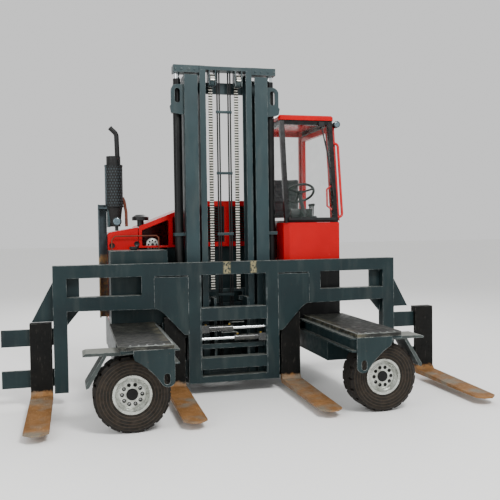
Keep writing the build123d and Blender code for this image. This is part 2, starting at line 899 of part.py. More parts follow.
# Engine hood: a hinged cover with a rising top line, open below, with a service opening and grilles
bay_left_x = -800.0
bay_right_x = -534.0
bay_bottom_z = 1405.0
bay_top_z = 1560.0
grille_openings = (
    # left x, right x, bottom z, top z
    (-172.0, 40.0, 1430.0, 1795.0),
    (90.0, 300.0, 1430.0, 1795.0),
)
with BuildPart() as hood:
    with BuildSketch(Plane.XZ.offset(-hood_front_y)):
        with BuildLine():
            Polyline(
                (hood_left_x, hood_bottom_z),
                (hood_left_x, hood_shoulder_z),
                hood_ridge,
                (hood_right_x, hood_ridge[1]),
                (hood_right_x, hood_bottom_z),
                close=True,
            )
        make_face()
    extrude(amount=-(hood_rear_y - hood_front_y))
    fillet(hood.edges().filter_by(Axis.Y).sort_by(Axis.Z)[2:], hood_corner)
    with BuildSketch(Plane.XZ.offset(-hood_front_y - hood_sheet)):
        with BuildLine():
            Polyline(
                (hood_left_x + hood_sheet, hood_bottom_z - 1),
                (hood_left_x + hood_sheet, hood_shoulder_z - hood_sheet * (1 - hood_slope)),
                (hood_ridge[0] + 5, hood_ridge[1] - hood_sheet),
                (hood_right_x - hood_sheet, hood_ridge[1] - hood_sheet),
                (hood_right_x - hood_sheet, hood_bottom_z - 1),
                close=True,
            )
        make_face()
    extrude(amount=-(hood_rear_y - hood_front_y - 2 * hood_sheet), mode=Mode.SUBTRACT)
    with BuildSketch(Plane.XZ.offset(-hood_front_y + 1)):
        with BuildLine():
            FilletPolyline(
                (bay_left_x, bay_bottom_z),
                (bay_left_x, bay_top_z),
                (bay_right_x, bay_top_z + hood_slope * (bay_right_x - bay_left_x)),
                (bay_right_x, bay_bottom_z),
                radius=14,
                close=True,
            )
        make_face()
        with Locations(((bay_right_x + 58), (bay_bottom_z + 1690) / 2)):
            SlotOverall(1690 - bay_bottom_z, 34, rotation=90)
    extrude(amount=-(hood_sheet + 2), mode=Mode.SUBTRACT)
    for left, right, bottom, top in grille_openings:
        box_between(
            (left, right),
            (hood_front_y - 1, hood_front_y + hood_sheet + 1),
            (bottom, top),
            mode=Mode.SUBTRACT,
        )
    for knuckle_x in hood_hinge_x:
        knuckle_step = hood_hinge_length + pin_clearance
        for leaf_x in (knuckle_x - knuckle_step, knuckle_x + knuckle_step):
            box_between(
                (leaf_x, leaf_x + hood_hinge_length),
                (hood_rear_y - 1, hood_hinge_y),
                (hood_hinge_z, hood_hinge_z + hood_hinge_radius),
            )
            with Locations(
                Location((leaf_x + hood_hinge_length / 2, hood_hinge_y, hood_hinge_z), (0, 90, 0))
            ):
                Cylinder(hood_hinge_radius, hood_hinge_length)
hood.part.label = "engine_hood"
export_step(hood.part, "parts/engine_hood.step")

# Grilles: framed slats that fill the hood's front openings
slat_pitch = 26.0
with BuildPart() as grille:
    for left, right, bottom, top in grille_openings:
        box_between(
            (left + pin_clearance, left + 14),
            (hood_front_y + 2, hood_front_y + 20),
            (bottom + pin_clearance, top - pin_clearance),
        )
        box_between(
            (right - 14, right - pin_clearance),
            (hood_front_y + 2, hood_front_y + 20),
            (bottom + pin_clearance, top - pin_clearance),
        )
        slat_count = int((top - bottom) / slat_pitch)
        for slat in range(slat_count):
            slat_z = bottom + (slat + 0.5) * (top - bottom) / slat_count
            box_between(
                (left + 14, right - 14),
                (hood_front_y + 5, hood_front_y + 17),
                (slat_z - 5, slat_z + 5),
            )
grille.part.label = "engine_grille"
export_step(grille.part, "parts/engine_grille.step")

# Side bodywork: the fixed panel outboard of the hood, sloping down to the side
with BuildPart() as bodywork:
    with BuildSketch(Plane.XZ.offset(-hood_front_y)):
        with BuildLine():
            Polyline(
                (side_panel_x, arm_top_z),
                (side_panel_x, 1540),
                (hood_left_x - door_gap, 1590),
                (hood_left_x - door_gap, arm_top_z),
                close=True,
            )
        make_face()
    extrude(amount=-(body_rear_y - hood_front_y))
    fillet(bodywork.edges().filter_by(Axis.Y).group_by(Axis.X)[0].sort_by(Axis.Z)[-1], hood_corner)
bodywork.part.label = "side_bodywork"
export_step(bodywork.part, "parts/side_bodywork.step")

# Engine: one plain block on the platform
with BuildPart() as engine:
    box_between((-780, 420), (600, 1130), (deck_bottom_z, 1330))
engine.part.label = "engine_block"
export_step(engine.part, "parts/engine_block.step")

# Air intake cap: a mushroom on a short neck, on the hood
intake_x = -800.0
intake_y = hood_front_y + 140
with BuildPart() as intake:
    with Locations((intake_x, intake_y, 1560)):
        Cylinder(34, 100, align=(Align.CENTER, Align.CENTER, Align.MIN))
    with Locations((intake_x, intake_y, 1660)):
        Cylinder(84, 34, align=(Align.CENTER, Align.CENTER, Align.MIN))
    with Locations((intake_x, intake_y, 1694)):
        Cone(84, 44, 24, align=(Align.CENTER, Align.CENTER, Align.MIN))
    split(
        bisect_by=Plane(
            origin=(hood_left_x, intake_y, hood_shoulder_z + pin_clearance),
            x_dir=(0, 1, 0),
            z_dir=(-hood_slope, 0, 1),
        ),
        keep=Keep.TOP,
    )
intake.part.label = "intake_cap"
export_step(intake.part, "parts/intake_cap.step")

# Exhaust: channel post, muffler in its guard, and a tail pipe bent over at the top
muffler_z = (1790.0, 2213.0)
with BuildPart() as exhaust:
    with Locations((muffler_x, muffler_y, muffler_z[0])):
        Cylinder(
            muffler_radius,
            muffler_z[1] - muffler_z[0],
            align=(Align.CENTER, Align.CENTER, Align.MIN),
        )
    with Locations((muffler_x, muffler_y, muffler_z[1])):
        Cylinder(70, 85, align=(Align.CENTER, Align.CENTER, Align.MIN))
    with BuildLine() as tail_line:
        FilletPolyline(
            (muffler_x + 40, muffler_y, muffler_z[1] + 80),
            (muffler_x + 34, muffler_y, muffler_z[1] + 310),
            (muffler_x - 30, muffler_y, muffler_z[1] + 372),
            radius=60,
        )
    with BuildSketch(Plane(origin=tail_line.line @ 0, z_dir=tail_line.line % 0)):
        Circle(24)
    sweep(path=tail_line.line)
    box_between(
        (muffler_x - 160, side_panel_x - pin_clearance),
        (muffler_y - 50, muffler_y + 50),
        (deck_top_z, muffler_z[0] + 30),
    )
    box_between(
        (muffler_x - 148, side_panel_x),
        (muffler_y - 51, muffler_y + 38),
        (deck_top_z - 1, muffler_z[0] + 31),
        mode=Mode.SUBTRACT,
    )
    box_between(
        (muffler_x - 160, muffler_x + 60),
        (muffler_y - 60, muffler_y + 60),
        (muffler_z[0] - 14, muffler_z[0]),
    )
exhaust.part.label = "exhaust_stack"
export_step(exhaust.part, "parts/exhaust_stack.step")

# Cab base: the closed console under the cab floor
with BuildPart() as cab_base:
    box_between(
        (cab_inner_x, cab_outer_x),
        (body_front_y, body_rear_y),
        (arm_top_z, cab_floor_z),
    )
    front_corner = cab_base.edges().filter_by(Axis.Z).sort_by(Axis.Y)[0:2].sort_by(Axis.X)[0]
    chamfer(front_corner, cab_corner)
cab_base.part.label = "cab_base"
export_step(cab_base.part, "parts/cab_base.step")


# Cab panels: the red tub below the sill, open at the door
def cab_outline(inset):
    """Plan corners of the cab walls, moved in by inset."""
    chamfer_shift = inset * (math.sqrt(2) - 1)
    return (
        (cab_inner_x + inset, body_rear_y - inset),
        (cab_inner_x + inset, body_front_y + cab_corner + chamfer_shift),
        (cab_inner_x + cab_corner + chamfer_shift, body_front_y + inset),
        (cab_outer_x - inset, body_front_y + inset),
        (cab_outer_x - inset, body_rear_y - inset),
    )


side_window_z = 1250.0
side_window_y = (body_front_y + 280, body_rear_y - 90)
with BuildPart() as cab_panels:
    with BuildSketch(Plane.XY.offset(cab_floor_z)):
        with BuildLine():
            Polyline(*cab_outline(0), close=True)
        make_face()
    extrude(amount=sill_z - cab_floor_z)
    with BuildSketch(Plane.XY.offset(cab_floor_z + 20)):
        with BuildLine():
            Polyline(*cab_outline(cab_wall), close=True)
        make_face()
    extrude(amount=sill_z - cab_floor_z, mode=Mode.SUBTRACT)
    box_between(
        (cab_outer_x - cab_wall - 1, cab_outer_x + 1),
        (door_front_y, door_rear_y),
        (cab_floor_z + 20, sill_z + 1),
        mode=Mode.SUBTRACT,
    )
    box_between(
        (cab_inner_x - 1, cab_inner_x + cab_wall + 1),
        side_window_y,
        (side_window_z, sill_z + 1),
        mode=Mode.SUBTRACT,
    )
    box_between(
        (cab_outer_x - 1, hinge_x),
        (door_rear_y, door_rear_y + 20),
        (lower_hinge_z, lower_hinge_z + hinge_length),
    )
    with Locations((hinge_x, door_rear_y, lower_hinge_z)):
        Cylinder(hinge_radius, hinge_length, align=(Align.CENTER, Align.CENTER, Align.MIN))
cab_panels.part.label = "cab_panels"
export_step(cab_panels.part, "parts/cab_panels.step")

# Cab frame: posts and rails above the sill, with the front leaning back to the roof
post = 45.0
roof_front_y = body_front_y + windscreen_rake
screen_lean = (roof_front_y - body_front_y - 8) / (roof_z - sill_z)
grab_rail_z = (1668.0, 2420.0)
grab_rail_reach = 48.0
grab_rail_radius = 13.0
with BuildPart() as cab_frame:
    for x_low in (cab_inner_x + 8, cab_outer_x - post - 8):
        with BuildSketch(Plane.YZ.offset(x_low)):
            with BuildLine():
                Polyline(
                    (body_front_y + 8, sill_z),
                    (roof_front_y, roof_z),
                    (body_rear_y, roof_z),
                    (body_rear_y, sill_z),
                    close=True,
                )
            make_face()
            with BuildLine():
                Polyline(
                    (body_front_y + 8 + post, sill_z - 1),
                    (roof_front_y + post, roof_z - post),
                    (body_rear_y - post, roof_z - post),
                    (body_rear_y - post, sill_z - 1),
                    close=True,
                )
            make_face(mode=Mode.SUBTRACT)
        extrude(amount=post)
    box_between(
        (cab_inner_x + 8, cab_outer_x - 8),
        (roof_front_y, roof_front_y + post),
        (roof_z - post, roof_z),
    )
    box_between(
        (cab_inner_x + 8, cab_outer_x - 8),
        (body_rear_y - post, body_rear_y),
        (roof_z - post, roof_z),
    )
    box_between(
        (cab_outer_x - 30, hinge_x),
        (door_rear_y + 5.5, door_rear_y + 20),
        (upper_hinge_z, upper_hinge_z + hinge_length),
    )
    with Locations((hinge_x, door_rear_y, upper_hinge_z)):
        Cylinder(hinge_radius, hinge_length, align=(Align.CENTER, Align.CENTER, Align.MIN))
    rail_low_y = body_front_y + 8 + post / 2 + (grab_rail_z[0] - sill_z) * screen_lean
    rail_high_y = body_front_y + 8 + post / 2 + (grab_rail_z[1] - sill_z) * screen_lean
    with BuildLine() as grab_line:
        FilletPolyline(
            (cab_outer_x - 20, rail_low_y, grab_rail_z[0]),
            (cab_outer_x + grab_rail_reach, rail_low_y, grab_rail_z[0]),
            (cab_outer_x + grab_rail_reach, rail_high_y, grab_rail_z[1]),
            (cab_outer_x - 20, rail_high_y, grab_rail_z[1]),
            radius=36,
        )
    with BuildSketch(Plane(origin=grab_line.line @ 0, z_dir=grab_line.line % 0)):
        Circle(grab_rail_radius)
    sweep(path=grab_line.line)
cab_frame.part.label = "cab_frame"
export_step(cab_frame.part, "parts/cab_frame.step")

# Cab roof: a thin cap with rounded plan corners
with BuildPart() as cab_roof:
    box_between(
        (cab_inner_x - 8, cab_outer_x + 6),
        (roof_front_y - 12, body_rear_y + 10),
        (roof_z, roof_z + roof_thickness),
    )
    fillet(cab_roof.edges().filter_by(Axis.Z), 30)
    chamfer(cab_roof.faces().sort_by(Axis.Z)[-1].edges(), 14)
cab_roof.part.label = "cab_roof"
export_step(cab_roof.part, "parts/cab_roof.step")

# Cab glass: windscreen, the pane on the mast side and the rear pane
pane_gap = 0.3
with BuildPart() as cab_glass:
    with BuildSketch(Plane.YZ.offset(cab_inner_x + 8 + post + pane_gap)):
        with BuildLine():
            Polyline(
                (body_front_y + 20, sill_z + pane_gap),
                (roof_front_y + 12, roof_z - post - pane_gap),
                (roof_front_y + 12 + glass_thickness, roof_z - post - pane_gap),
                (body_front_y + 20 + glass_thickness, sill_z + pane_gap),
                close=True,
            )
        make_face()
    extrude(amount=cab_outer_x - cab_inner_x - 2 * (8 + post + pane_gap))
    with BuildSketch(Plane.YZ.offset(cab_inner_x + 20)):
        with BuildLine():
            Polyline(
                (body_front_y + 8 + post + 10, sill_z + pane_gap),
                (roof_front_y + post + pane_gap + 5, roof_z - post - pane_gap),
                (body_rear_y - post - pane_gap, roof_z - post - pane_gap),
                (body_rear_y - post - pane_gap, sill_z + pane_gap),
                (side_window_y[1] - pane_gap, sill_z + pane_gap),
                (side_window_y[1] - pane_gap, side_window_z + pane_gap),
                (side_window_y[0] + pane_gap, side_window_z + pane_gap),
                (side_window_y[0] + pane_gap, sill_z + pane_gap),
                close=True,
            )
        make_face()
    extrude(amount=glass_thickness)
    box_between(
        (cab_inner_x + 8 + post + pane_gap, cab_outer_x - 8 - post - pane_gap),
        (body_rear_y - 30, body_rear_y - 30 + glass_thickness),
        (sill_z + pane_gap, roof_z - post - pane_gap),
    )
cab_glass.part.label = "cab_glass"
export_step(cab_glass.part, "parts/cab_glass.step")

# Cab door: a framed leaf on the outer side, hinged at its rear edge, with its pane
door_z = (cab_floor_z + 20 + door_gap, roof_z - post - door_gap)
door_x = (cab_outer_x - cab_wall, cab_outer_x)
door_rail = 55.0
door_window_z = (1380.0, door_z[1] - door_rail)
with BuildPart() as cab_door:
    with BuildSketch(Plane.YZ.offset(door_x[0])):
        with BuildLine():
            Polyline(
                (door_front_y + door_gap, door_z[0]),
                (door_front_y + door_gap, sill_z + 80),
                (door_front_y + 120, door_z[1]),
                (door_rear_y - door_gap, door_z[1]),
                (door_rear_y - door_gap, door_z[0]),
                close=True,
            )
        make_face()
        with BuildLine():
            Polyline(
                (door_front_y + door_gap + door_rail, door_window_z[0]),
                (door_front_y + door_gap + door_rail, sill_z + 80),
                (door_front_y + 120 + door_rail, door_window_z[1]),
                (door_rear_y - door_gap - door_rail, door_window_z[1]),
                (door_rear_y - door_gap - door_rail, door_window_z[0]),
                close=True,
            )
        make_face(mode=Mode.SUBTRACT)
    extrude(amount=door_x[1] - door_x[0])
    for hinge_z in (lower_hinge_z, upper_hinge_z):
        leaf_z = hinge_z + hinge_length + pin_clearance
        box_between(
            (cab_outer_x - 1, hinge_x),
            (door_rear_y - 20, door_rear_y),
            (leaf_z, leaf_z + hinge_length),
        )
        with Locations((hinge_x, door_rear_y, leaf_z)):
            Cylinder(hinge_radius, hinge_length, align=(Align.CENTER, Align.CENTER, Align.MIN))
cab_door.part.label = "cab_door"
export_step(cab_door.part, "parts/cab_door.step")

with BuildPart() as door_glass:
    with BuildSketch(Plane.YZ.offset((door_x[0] + door_x[1] - glass_thickness) / 2)):
        with BuildLine():
            Polyline(
                (door_front_y + door_gap + door_rail + pane_gap, door_window_z[0] + pane_gap),
                (door_front_y + door_gap + door_rail + pane_gap, sill_z + 80),
                (door_front_y + 120 + door_rail + pane_gap, door_window_z[1] - pane_gap),
                (door_rear_y - door_gap - door_rail - pane_gap, door_window_z[1] - pane_gap),
                (door_rear_y - door_gap - door_rail - pane_gap, door_window_z[0] + pane_gap),
                close=True,
            )
        make_face()
    extrude(amount=glass_thickness)
door_glass.part.label = "door_glass"
export_step(door_glass.part, "parts/door_glass.step")

# Driver's seat: pedestal, cushion and back
seat_x = (cab_inner_x + cab_outer_x) / 2 + 3.5
seat_half_width = (cab_outer_x - cab_inner_x) / 2 - 61.5
seat_front_y = 600.0
with BuildPart() as seat:
    box_between(
        (seat_x - seat_half_width + 55, seat_x + seat_half_width - 55),
        (seat_front_y + 40, 1000),
        (cab_floor_z + 20, 1530),
    )
    box_between(
        (seat_x - seat_half_width, seat_x + seat_half_width),
        (seat_front_y, 1040),
        (1530, 1640),
    )
    with BuildSketch(Plane.YZ.offset(seat_x - seat_half_width + 10)):
        with BuildLine():
            Polyline(
                (930, 1620),
                (1000, 2150),
                (1085, 2150),
                (1050, 1560),
                (960, 1560),
                close=True,
            )
        make_face()
    extrude(amount=2 * seat_half_width - 20)
seat.part.label = "driver_seat"
export_step(seat.part, "parts/driver_seat.step")

# Steering column and wheel, leaning back to the driver
column_tilt = 34.0
wheel_centre = (seat_x - 15, 400.0, 1925.0)
steering_axis = Vector(
    0,
    math.sin(math.radians(column_tilt)),
    math.cos(math.radians(column_tilt)),
)
steering_plane = Plane(origin=wheel_centre, x_dir=(1, 0, 0), z_dir=steering_axis)
column_length = 330.0
with BuildPart() as column:
    with Locations(steering_plane.offset(-20)):
        Cylinder(20, column_length, align=(Align.CENTER, Align.CENTER, Align.MAX))
    foot_top = wheel_centre[2] - column_length * steering_axis.Z
    foot_y = wheel_centre[1] - column_length * steering_axis.Y
    box_between(
        (wheel_centre[0] - 70, wheel_centre[0] + 70),
        (foot_y - 75, foot_y + 55),
        (cab_floor_z + 20, foot_top + 20),
    )
column.part.label = "steering_column"
export_step(column.part, "parts/steering_column.step")

steering_radius = 152.0
with BuildPart() as steering_wheel:
    with BuildSketch(Plane(origin=steering_plane.origin, x_dir=(1, 0, 0), z_dir=-steering_plane.y_dir)):
        with Locations((steering_radius, 0)):
            Circle(13)
    revolve(axis=Axis(steering_plane.origin, steering_plane.z_dir))
    with Locations(steering_plane.offset(-19.7)):
        Cylinder(32, 30, align=(Align.CENTER, Align.CENTER, Align.MIN))
    with Locations(steering_plane):
        with PolarLocations(steering_radius / 2, 3, 90):
            Box(steering_radius - 10, 24, 8)
steering_wheel.part.label = "steering_wheel"
export_step(steering_wheel.part, "parts/steering_wheel.step")

# Lamps: a headlight on the engine side and a work lamp at the cab's roof corner
headlight_x = side_panel_x + 90
with BuildPart() as lamps:
    with Locations(Location((headlight_x, hood_front_y + 30, 1650), (90, 0, 0))):
        Cylinder(48, 70)
    box_between(
        (headlight_x - 16, headlight_x + 16),
        (hood_front_y + 14, hood_front_y + 46),
        (1558.3, 1610),
    )
    with Locations(Location((cab_outer_x + 39, roof_front_y + 10, roof_z - 35), (90, 0, 0))):
        Cylinder(34, 60)
    box_between(
        (cab_outer_x - 7.7, cab_outer_x + 30),
        (roof_front_y, roof_front_y + 20),
        (roof_z - 45, roof_z - 25),
    )
lamps.part.label = "lamps"
export_step(lamps.part, "parts/lamps.step")
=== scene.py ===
"""Dresses the multidirectional forklift: paint, worn steel, rubber, glass and small pieces."""

import json
import logging
import math
from dataclasses import dataclass
from enum import Enum
from typing import ClassVar

import bmesh
import bpy
from mathutils import Matrix, Vector

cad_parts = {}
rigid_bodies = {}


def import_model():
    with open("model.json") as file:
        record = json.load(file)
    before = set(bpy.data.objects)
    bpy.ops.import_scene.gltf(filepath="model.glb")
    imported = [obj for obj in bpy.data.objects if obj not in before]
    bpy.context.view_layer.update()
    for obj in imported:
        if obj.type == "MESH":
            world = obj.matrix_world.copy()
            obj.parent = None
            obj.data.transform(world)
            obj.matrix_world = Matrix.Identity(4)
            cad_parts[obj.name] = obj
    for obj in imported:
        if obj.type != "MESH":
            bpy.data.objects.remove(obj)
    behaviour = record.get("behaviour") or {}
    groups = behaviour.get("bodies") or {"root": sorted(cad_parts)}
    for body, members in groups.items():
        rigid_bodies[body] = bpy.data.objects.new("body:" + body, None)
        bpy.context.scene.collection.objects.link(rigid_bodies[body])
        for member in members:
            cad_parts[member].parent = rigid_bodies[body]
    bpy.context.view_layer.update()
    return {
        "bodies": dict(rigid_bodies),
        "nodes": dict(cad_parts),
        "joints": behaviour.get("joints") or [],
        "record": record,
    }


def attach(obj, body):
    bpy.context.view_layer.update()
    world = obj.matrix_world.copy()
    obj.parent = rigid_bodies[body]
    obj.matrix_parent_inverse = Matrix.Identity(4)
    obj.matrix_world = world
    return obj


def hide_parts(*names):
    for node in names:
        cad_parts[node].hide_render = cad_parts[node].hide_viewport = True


log = logging.getLogger("forklift")
MM = 0.001
Point = tuple[float, float, float]
Box = tuple[Point, Point]
Profile = tuple[tuple[float, float], ...]
Colour = tuple[float, float, float, float]
Socket = bpy.types.NodeSocket
Constants = ClassVar[dict[str, float]]

FRONT_AXLES: tuple[Point, ...] = ((-1048, 0, 297.5), (1048, 0, 297.5))
REAR_AXLE: tuple[Point, ...] = ((0, 0, 297.5),)
SILENCER_AXIS: Point = (-1060, 560, 0)
FORWARD: Point = (0, -1, 0)
UPWARD: Point = (0, 0, 1)
SHARP_EDGE = 0.7  # radians: edges that turn more are bevelled
WELD = 1e-5  # metres: spun points nearer than this become one


class Body(str, Enum):
    """Bodies of the frame that the new pieces ride on."""

    CHASSIS = "chassis"
    HOOD = "hood"
    DOOR = "door"
    LIFTING_MAST = "lifting_mast"
    CARRIAGE = "fork_carriage"


class Cover(Enum):
    """What a new piece is covered in: the finish's name and the record's material slot."""

    PLASTIC = ("black_abs", "black_plastic")
    VENT = ("black_mesh", "black_plastic")
    HOSE = ("hose_rubber", "black_plastic")
    RED_NYLON = ("red_nylon", "red_paint")
    BLACK = ("black_enamel", "black_paint")
    CLOTH = ("seat_cloth", "seat_fabric")
    SLATE = ("slate_enamel", "slate_paint")
    POST = ("mast_enamel", "slate_paint")
    MAST = ("mast_enamel", "mast_paint")
    LENS = ("lens_glass", "cab_glazing")
    CASTING = ("cast_aluminium", "engine_iron")
    STEEL = ("worn_mild_steel", "chain_steel")
    NOSING = ("worn_mild_steel", "deck_steel")
    ZINC = ("yellow_zinc", "chain_steel")
    RUSTY_RAIL = ("rusty_steel_pipe", "chain_steel")
    RUSTY_PIPE = ("rusty_steel_pipe", "exhaust_steel")
    SOOT = ("black_mesh", "exhaust_steel")
    CLAMP = ("silencer_steel", "exhaust_steel")


def linear(code: str) -> Colour:
    """Turn an sRGB hex code into a linear colour.

    Args:
        code: six hex digits, such as "3c4c50".

    Returns:
        Red, green, blue and alpha.
    """
    parts = [int(code[i : i + 2], 16) / 255 for i in (0, 2, 4)]
    flat = [p / 12.92 if p <= 0.04045 else ((p + 0.055) / 1.055) ** 2.4 for p in parts]
    return (flat[0], flat[1], flat[2], 1.0)


class Shader:
    """A material's node tree on Object coordinates, in metres of the machine's own frame."""

    def __init__(self, name: str, **constants: float | Colour) -> None:
        """Make the material with its Principled surface.

        Args:
            name: the material's name.
            constants: values set on the surface's own sockets.
        """
        self.material = bpy.data.materials.new(name)
        self.material.use_nodes = True
        self.tree = self.material.node_tree
        self.surface = next(n for n in self.tree.nodes if n.type == "BSDF_PRINCIPLED")
        for key, value in constants.items():
            self.surface.inputs[key.replace("_", " ")].default_value = value
        self.place = self.add("TexCoord", {}, "Object")

    def add(
        self, kind: str, inputs: dict, out: int | str = 0, **settings: str | int | bool
    ) -> Socket:
        """Add one node with its settings and links.

        Args:
            kind: the node's type without its ShaderNode prefix.
            inputs: input name or index, to a value or to the socket that feeds it.
            out: name or index of the output to return.
            settings: attributes of the node.

        Returns:
            The chosen output socket.
        """
        node = self.tree.nodes.new("ShaderNode" + kind)
        for key, value in settings.items():
            setattr(node, key, value)
        for key, value in inputs.items():
            if isinstance(value, bpy.types.NodeSocket):
                self.tree.links.new(value, node.inputs[key])
            else:
                node.inputs[key].default_value = value
        return node.outputs[out]

    def feed(self, **sockets: Socket) -> None:
        """Link sockets to the surface's inputs of the same names."""
        for key, value in sockets.items():
            self.tree.links.new(value, self.surface.inputs[key.replace("_", " ")])

    def coats(self, first: Socket | Colour, *over: tuple[Socket, Socket | Colour]) -> Socket:
        """Lay coats of colour one over another, each where its mask is 1.

        Args:
            first: the undermost colour.
            over: mask and colour of each further coat, at least one.

        Returns:
            The colour that shows.
        """
        for mask, colour in over:
            first = self.add("Mix", {0: mask, 6: first, 7: colour}, 2, data_type="RGBA")
        return first

    def patches(
        self, size_mm: float, low: float, high: float, full: float = 1.0, detail: float = 5.0,
        stretch: Point = (1, 1, 1),
    ) -> Socket:
        """Mask of irregular patches.

        Args:
            size_mm: size of a patch.
            low: noise value where the mask starts.
            high: noise value where the mask is full.
            full: the mask's full value.
            detail: octaves of the noise.
            stretch: scale along each axis, under 1 to draw the patches out.

        Returns:
            The mask.
        """
        moved = self.add("Mapping", {"Vector": self.place, "Scale": stretch})
        grain = {"Vector": moved, "Scale": 1 / (size_mm * MM), "Detail": detail}
        noise = self.add("TexNoise", grain, "Fac")
        ends = {"From Min": low, "From Max": high, "To Max": full}
        return self.add("MapRange", {"Value": noise, **ends})

    def beyond(
        self, along: str | Socket, start_mm: float, full_mm: float, full: float = 1.0
    ) -> Socket:
        """Mask that grows along an axis or with a distance.

        Args:
            along: X, Y or Z, or a distance in metres.
            start_mm: where it is 0.
            full_mm: where it is full.
            full: the mask's full value.

        Returns:
            The mask.
        """
        if isinstance(along, str):
            along = self.add("SeparateXYZ", {0: self.place}, along)
        ends = {"From Min": start_mm * MM, "From Max": full_mm * MM, "To Max": full}
        return self.add("MapRange", {"Value": along, **ends})

    def where_all(self, *masks: Socket | float) -> Socket:
        """Mask of the places where every given mask holds.

        Args:
            masks: masks, or numbers that dim the result.

        Returns:
            Their product.
        """
        result = masks[0]
        for mask in masks[1:]:
            result = self.add("Math", {0: result, 1: mask}, operation="MULTIPLY")
        return result

    def axle_distance(self, centres: tuple[Point, ...], axes: str) -> Socket:
        """Distance in metres from the nearest of some parallel lines.

        Args:
            centres: a point on each line, in millimetres.
            axes: the two axes that the distance is measured in.

        Returns:
            The distance.
        """
        kept = tuple(1.0 if a in axes else 0.0 for a in "XYZ")
        nearest = None
        for centre in centres:
            origin = tuple(c * MM for c in centre)
            moved = self.add("VectorMath", {0: self.place, 1: origin}, operation="SUBTRACT")
            flat = self.add("VectorMath", {0: moved, 1: kept}, operation="MULTIPLY")
            away = self.add("VectorMath", {0: flat}, "Value", operation="LENGTH")
            if nearest is not None:
                away = self.add("Math", {0: nearest, 1: away}, operation="MINIMUM")
            nearest = away
        return nearest

    def rubbed_edges(self, width_mm: float, grain_mm: float, full: float = 1.0) -> Socket:
        """Mask of rubbed patches along outer edges.

        Args:
            width_mm: how far from the edge the rubbing reaches.
            grain_mm: size of the patches along the edge.
            full: the mask's full value.

        Returns:
            The mask.
        """
        soft = self.add("Bevel", {"Radius": width_mm * MM}, samples=4)
        normal = self.add("NewGeometry", {}, "Normal")
        turn = self.add("VectorMath", {0: soft, 1: normal}, "Value", operation="DOT_PRODUCT")
        ends = {"From Min": 0.995, "From Max": 0.93, "To Max": full}
        edge = self.add("MapRange", {"Value": turn, **ends})
        return self.where_all(edge, self.patches(grain_mm, 0.42, 0.58))

    def dust_and_sky_light_on_tops(self, full: float) -> Socket:
        """Mask of the faces that look up, for the dust and the painted sky light on them.

        Args:
            full: the mask's full value.

        Returns:
            The mask.
        """
        normal = self.add("NewGeometry", {}, "True Normal")
        up = self.add("SeparateXYZ", {0: normal}, "Z")
        ends = {"From Min": 0.8, "From Max": 0.97, "To Max": full}
        return self.add("MapRange", {"Value": up, **ends})

    def relief(self, height: Socket, depth_mm: float, round_mm: float = 3.0) -> None:
        """Raise the surface by a height mask, over rounded edges.

        Args:
            height: the mask.
            depth_mm: how deep the relief looks.
            round_mm: how far the edges look rounded.
        """
        soft = self.add("Bevel", {"Radius": round_mm * MM}, samples=4)
        shape = {"Strength": 0.6, "Distance": depth_mm * MM, "Height": height, "Normal": soft}
        self.feed(Normal=self.add("Bump", shape))

    def sheen_patches(self, clean: float, dull: float, size_mm: float = 60.0) -> None:
        """Let the roughness vary in patches.

        Args:
            clean: roughness of clean places.
            dull: roughness of dull places.
            size_mm: size of a patch.
        """
        grain = {"Vector": self.place, "Scale": 1 / (size_mm * MM), "Detail": 5.0}
        noise = self.add("TexNoise", grain, "Fac")
        ends = {"From Min": 0.3, "From Max": 0.75, "To Min": clean, "To Max": dull}
        self.feed(Roughness=self.add("MapRange", {"Value": noise, **ends}))


@dataclass(frozen=True)
class Finish:
    """A finish: gives the surface its constants and paints it."""

    BASE: Constants = {"IOR": 1.5}

    def constants(self) -> dict[str, float]:
        """Values for the surface's own sockets."""
        return self.BASE

    def paint(self, s: Shader) -> None:
        """Lay the coats and the relief; every finish has its own."""
        raise NotImplementedError

    def build(self, name: str) -> bpy.types.Material:
        """Build the material.

        Args:
            name: name of the material.

        Returns:
            The material.
        """
        s = Shader(name, **self.constants())
        self.paint(s)
        return s.material


@dataclass(frozen=True)
class SprayedEnamel(Finish):
    """Two-pack enamel sprayed on welded steel: satin, paler on top with dust and painted sky
    light, rubbed to grey on its edges.

    Args:
        colour: sRGB code of the paint.
        patch: sRGB code of its uneven places.
        clean: roughness where clean.
        dull: roughness where dull.
        wear: how much the edges are rubbed.
        dust: how much dust lies on it; it also sets the painted sky light on the faces that look
            up.
        gloss: specular level, under the usual 0.5 where dust dulls the reflections.
    """

    colour: str
    patch: str
    clean: float
    dull: float
    wear: float
    dust: float
    gloss: float = 0.22

    def constants(self) -> dict[str, float]:
        """Values for the surface's own sockets."""
        return {"IOR": 1.5, "Specular_IOR_Level": self.gloss}

    def marks(self, s: Shader) -> list[tuple[Socket, Colour]]:
        """Mask and colour of each further coat; plain enamel has none."""
        return []

    def paint(self, s: Shader) -> None:
        """Paint it: the eye sees an even dark coat, tops and top edges paler with dust and
        painted sky light, and a few chips.

        Args:
            s: the shader.
        """
        base = s.coats(
            linear(self.colour),
            (s.patches(380, 0.35, 0.7), linear(self.patch)),
            # rain streaks, some 70 mm wide and drawn out down the plates
            (s.patches(70, 0.5, 0.8, self.dust * 0.6, 5, (1, 1, 0.15)), linear("6f716a")),
            # dust and painted sky light on the faces that look up, which makes their top edges
            # pale
            (s.dust_and_sky_light_on_tops(self.dust * 1.6), linear("8b8c84")),
            (s.rubbed_edges(6, 60, self.wear), linear("9b9f9d")),
            # paint chips, about 12 mm across
            (s.patches(12, 0.7, 0.73, self.wear * 0.5, 2), linear("4a382b")),
            *self.marks(s),
        )
        s.feed(Base_Color=base)
        s.sheen_patches(self.clean, self.dull)
        # orange peel of sprayed paint, drawn 3 mm wide so that it shows
        s.relief(s.patches(3, 0.2, 0.8, 1, 2), 0.06)


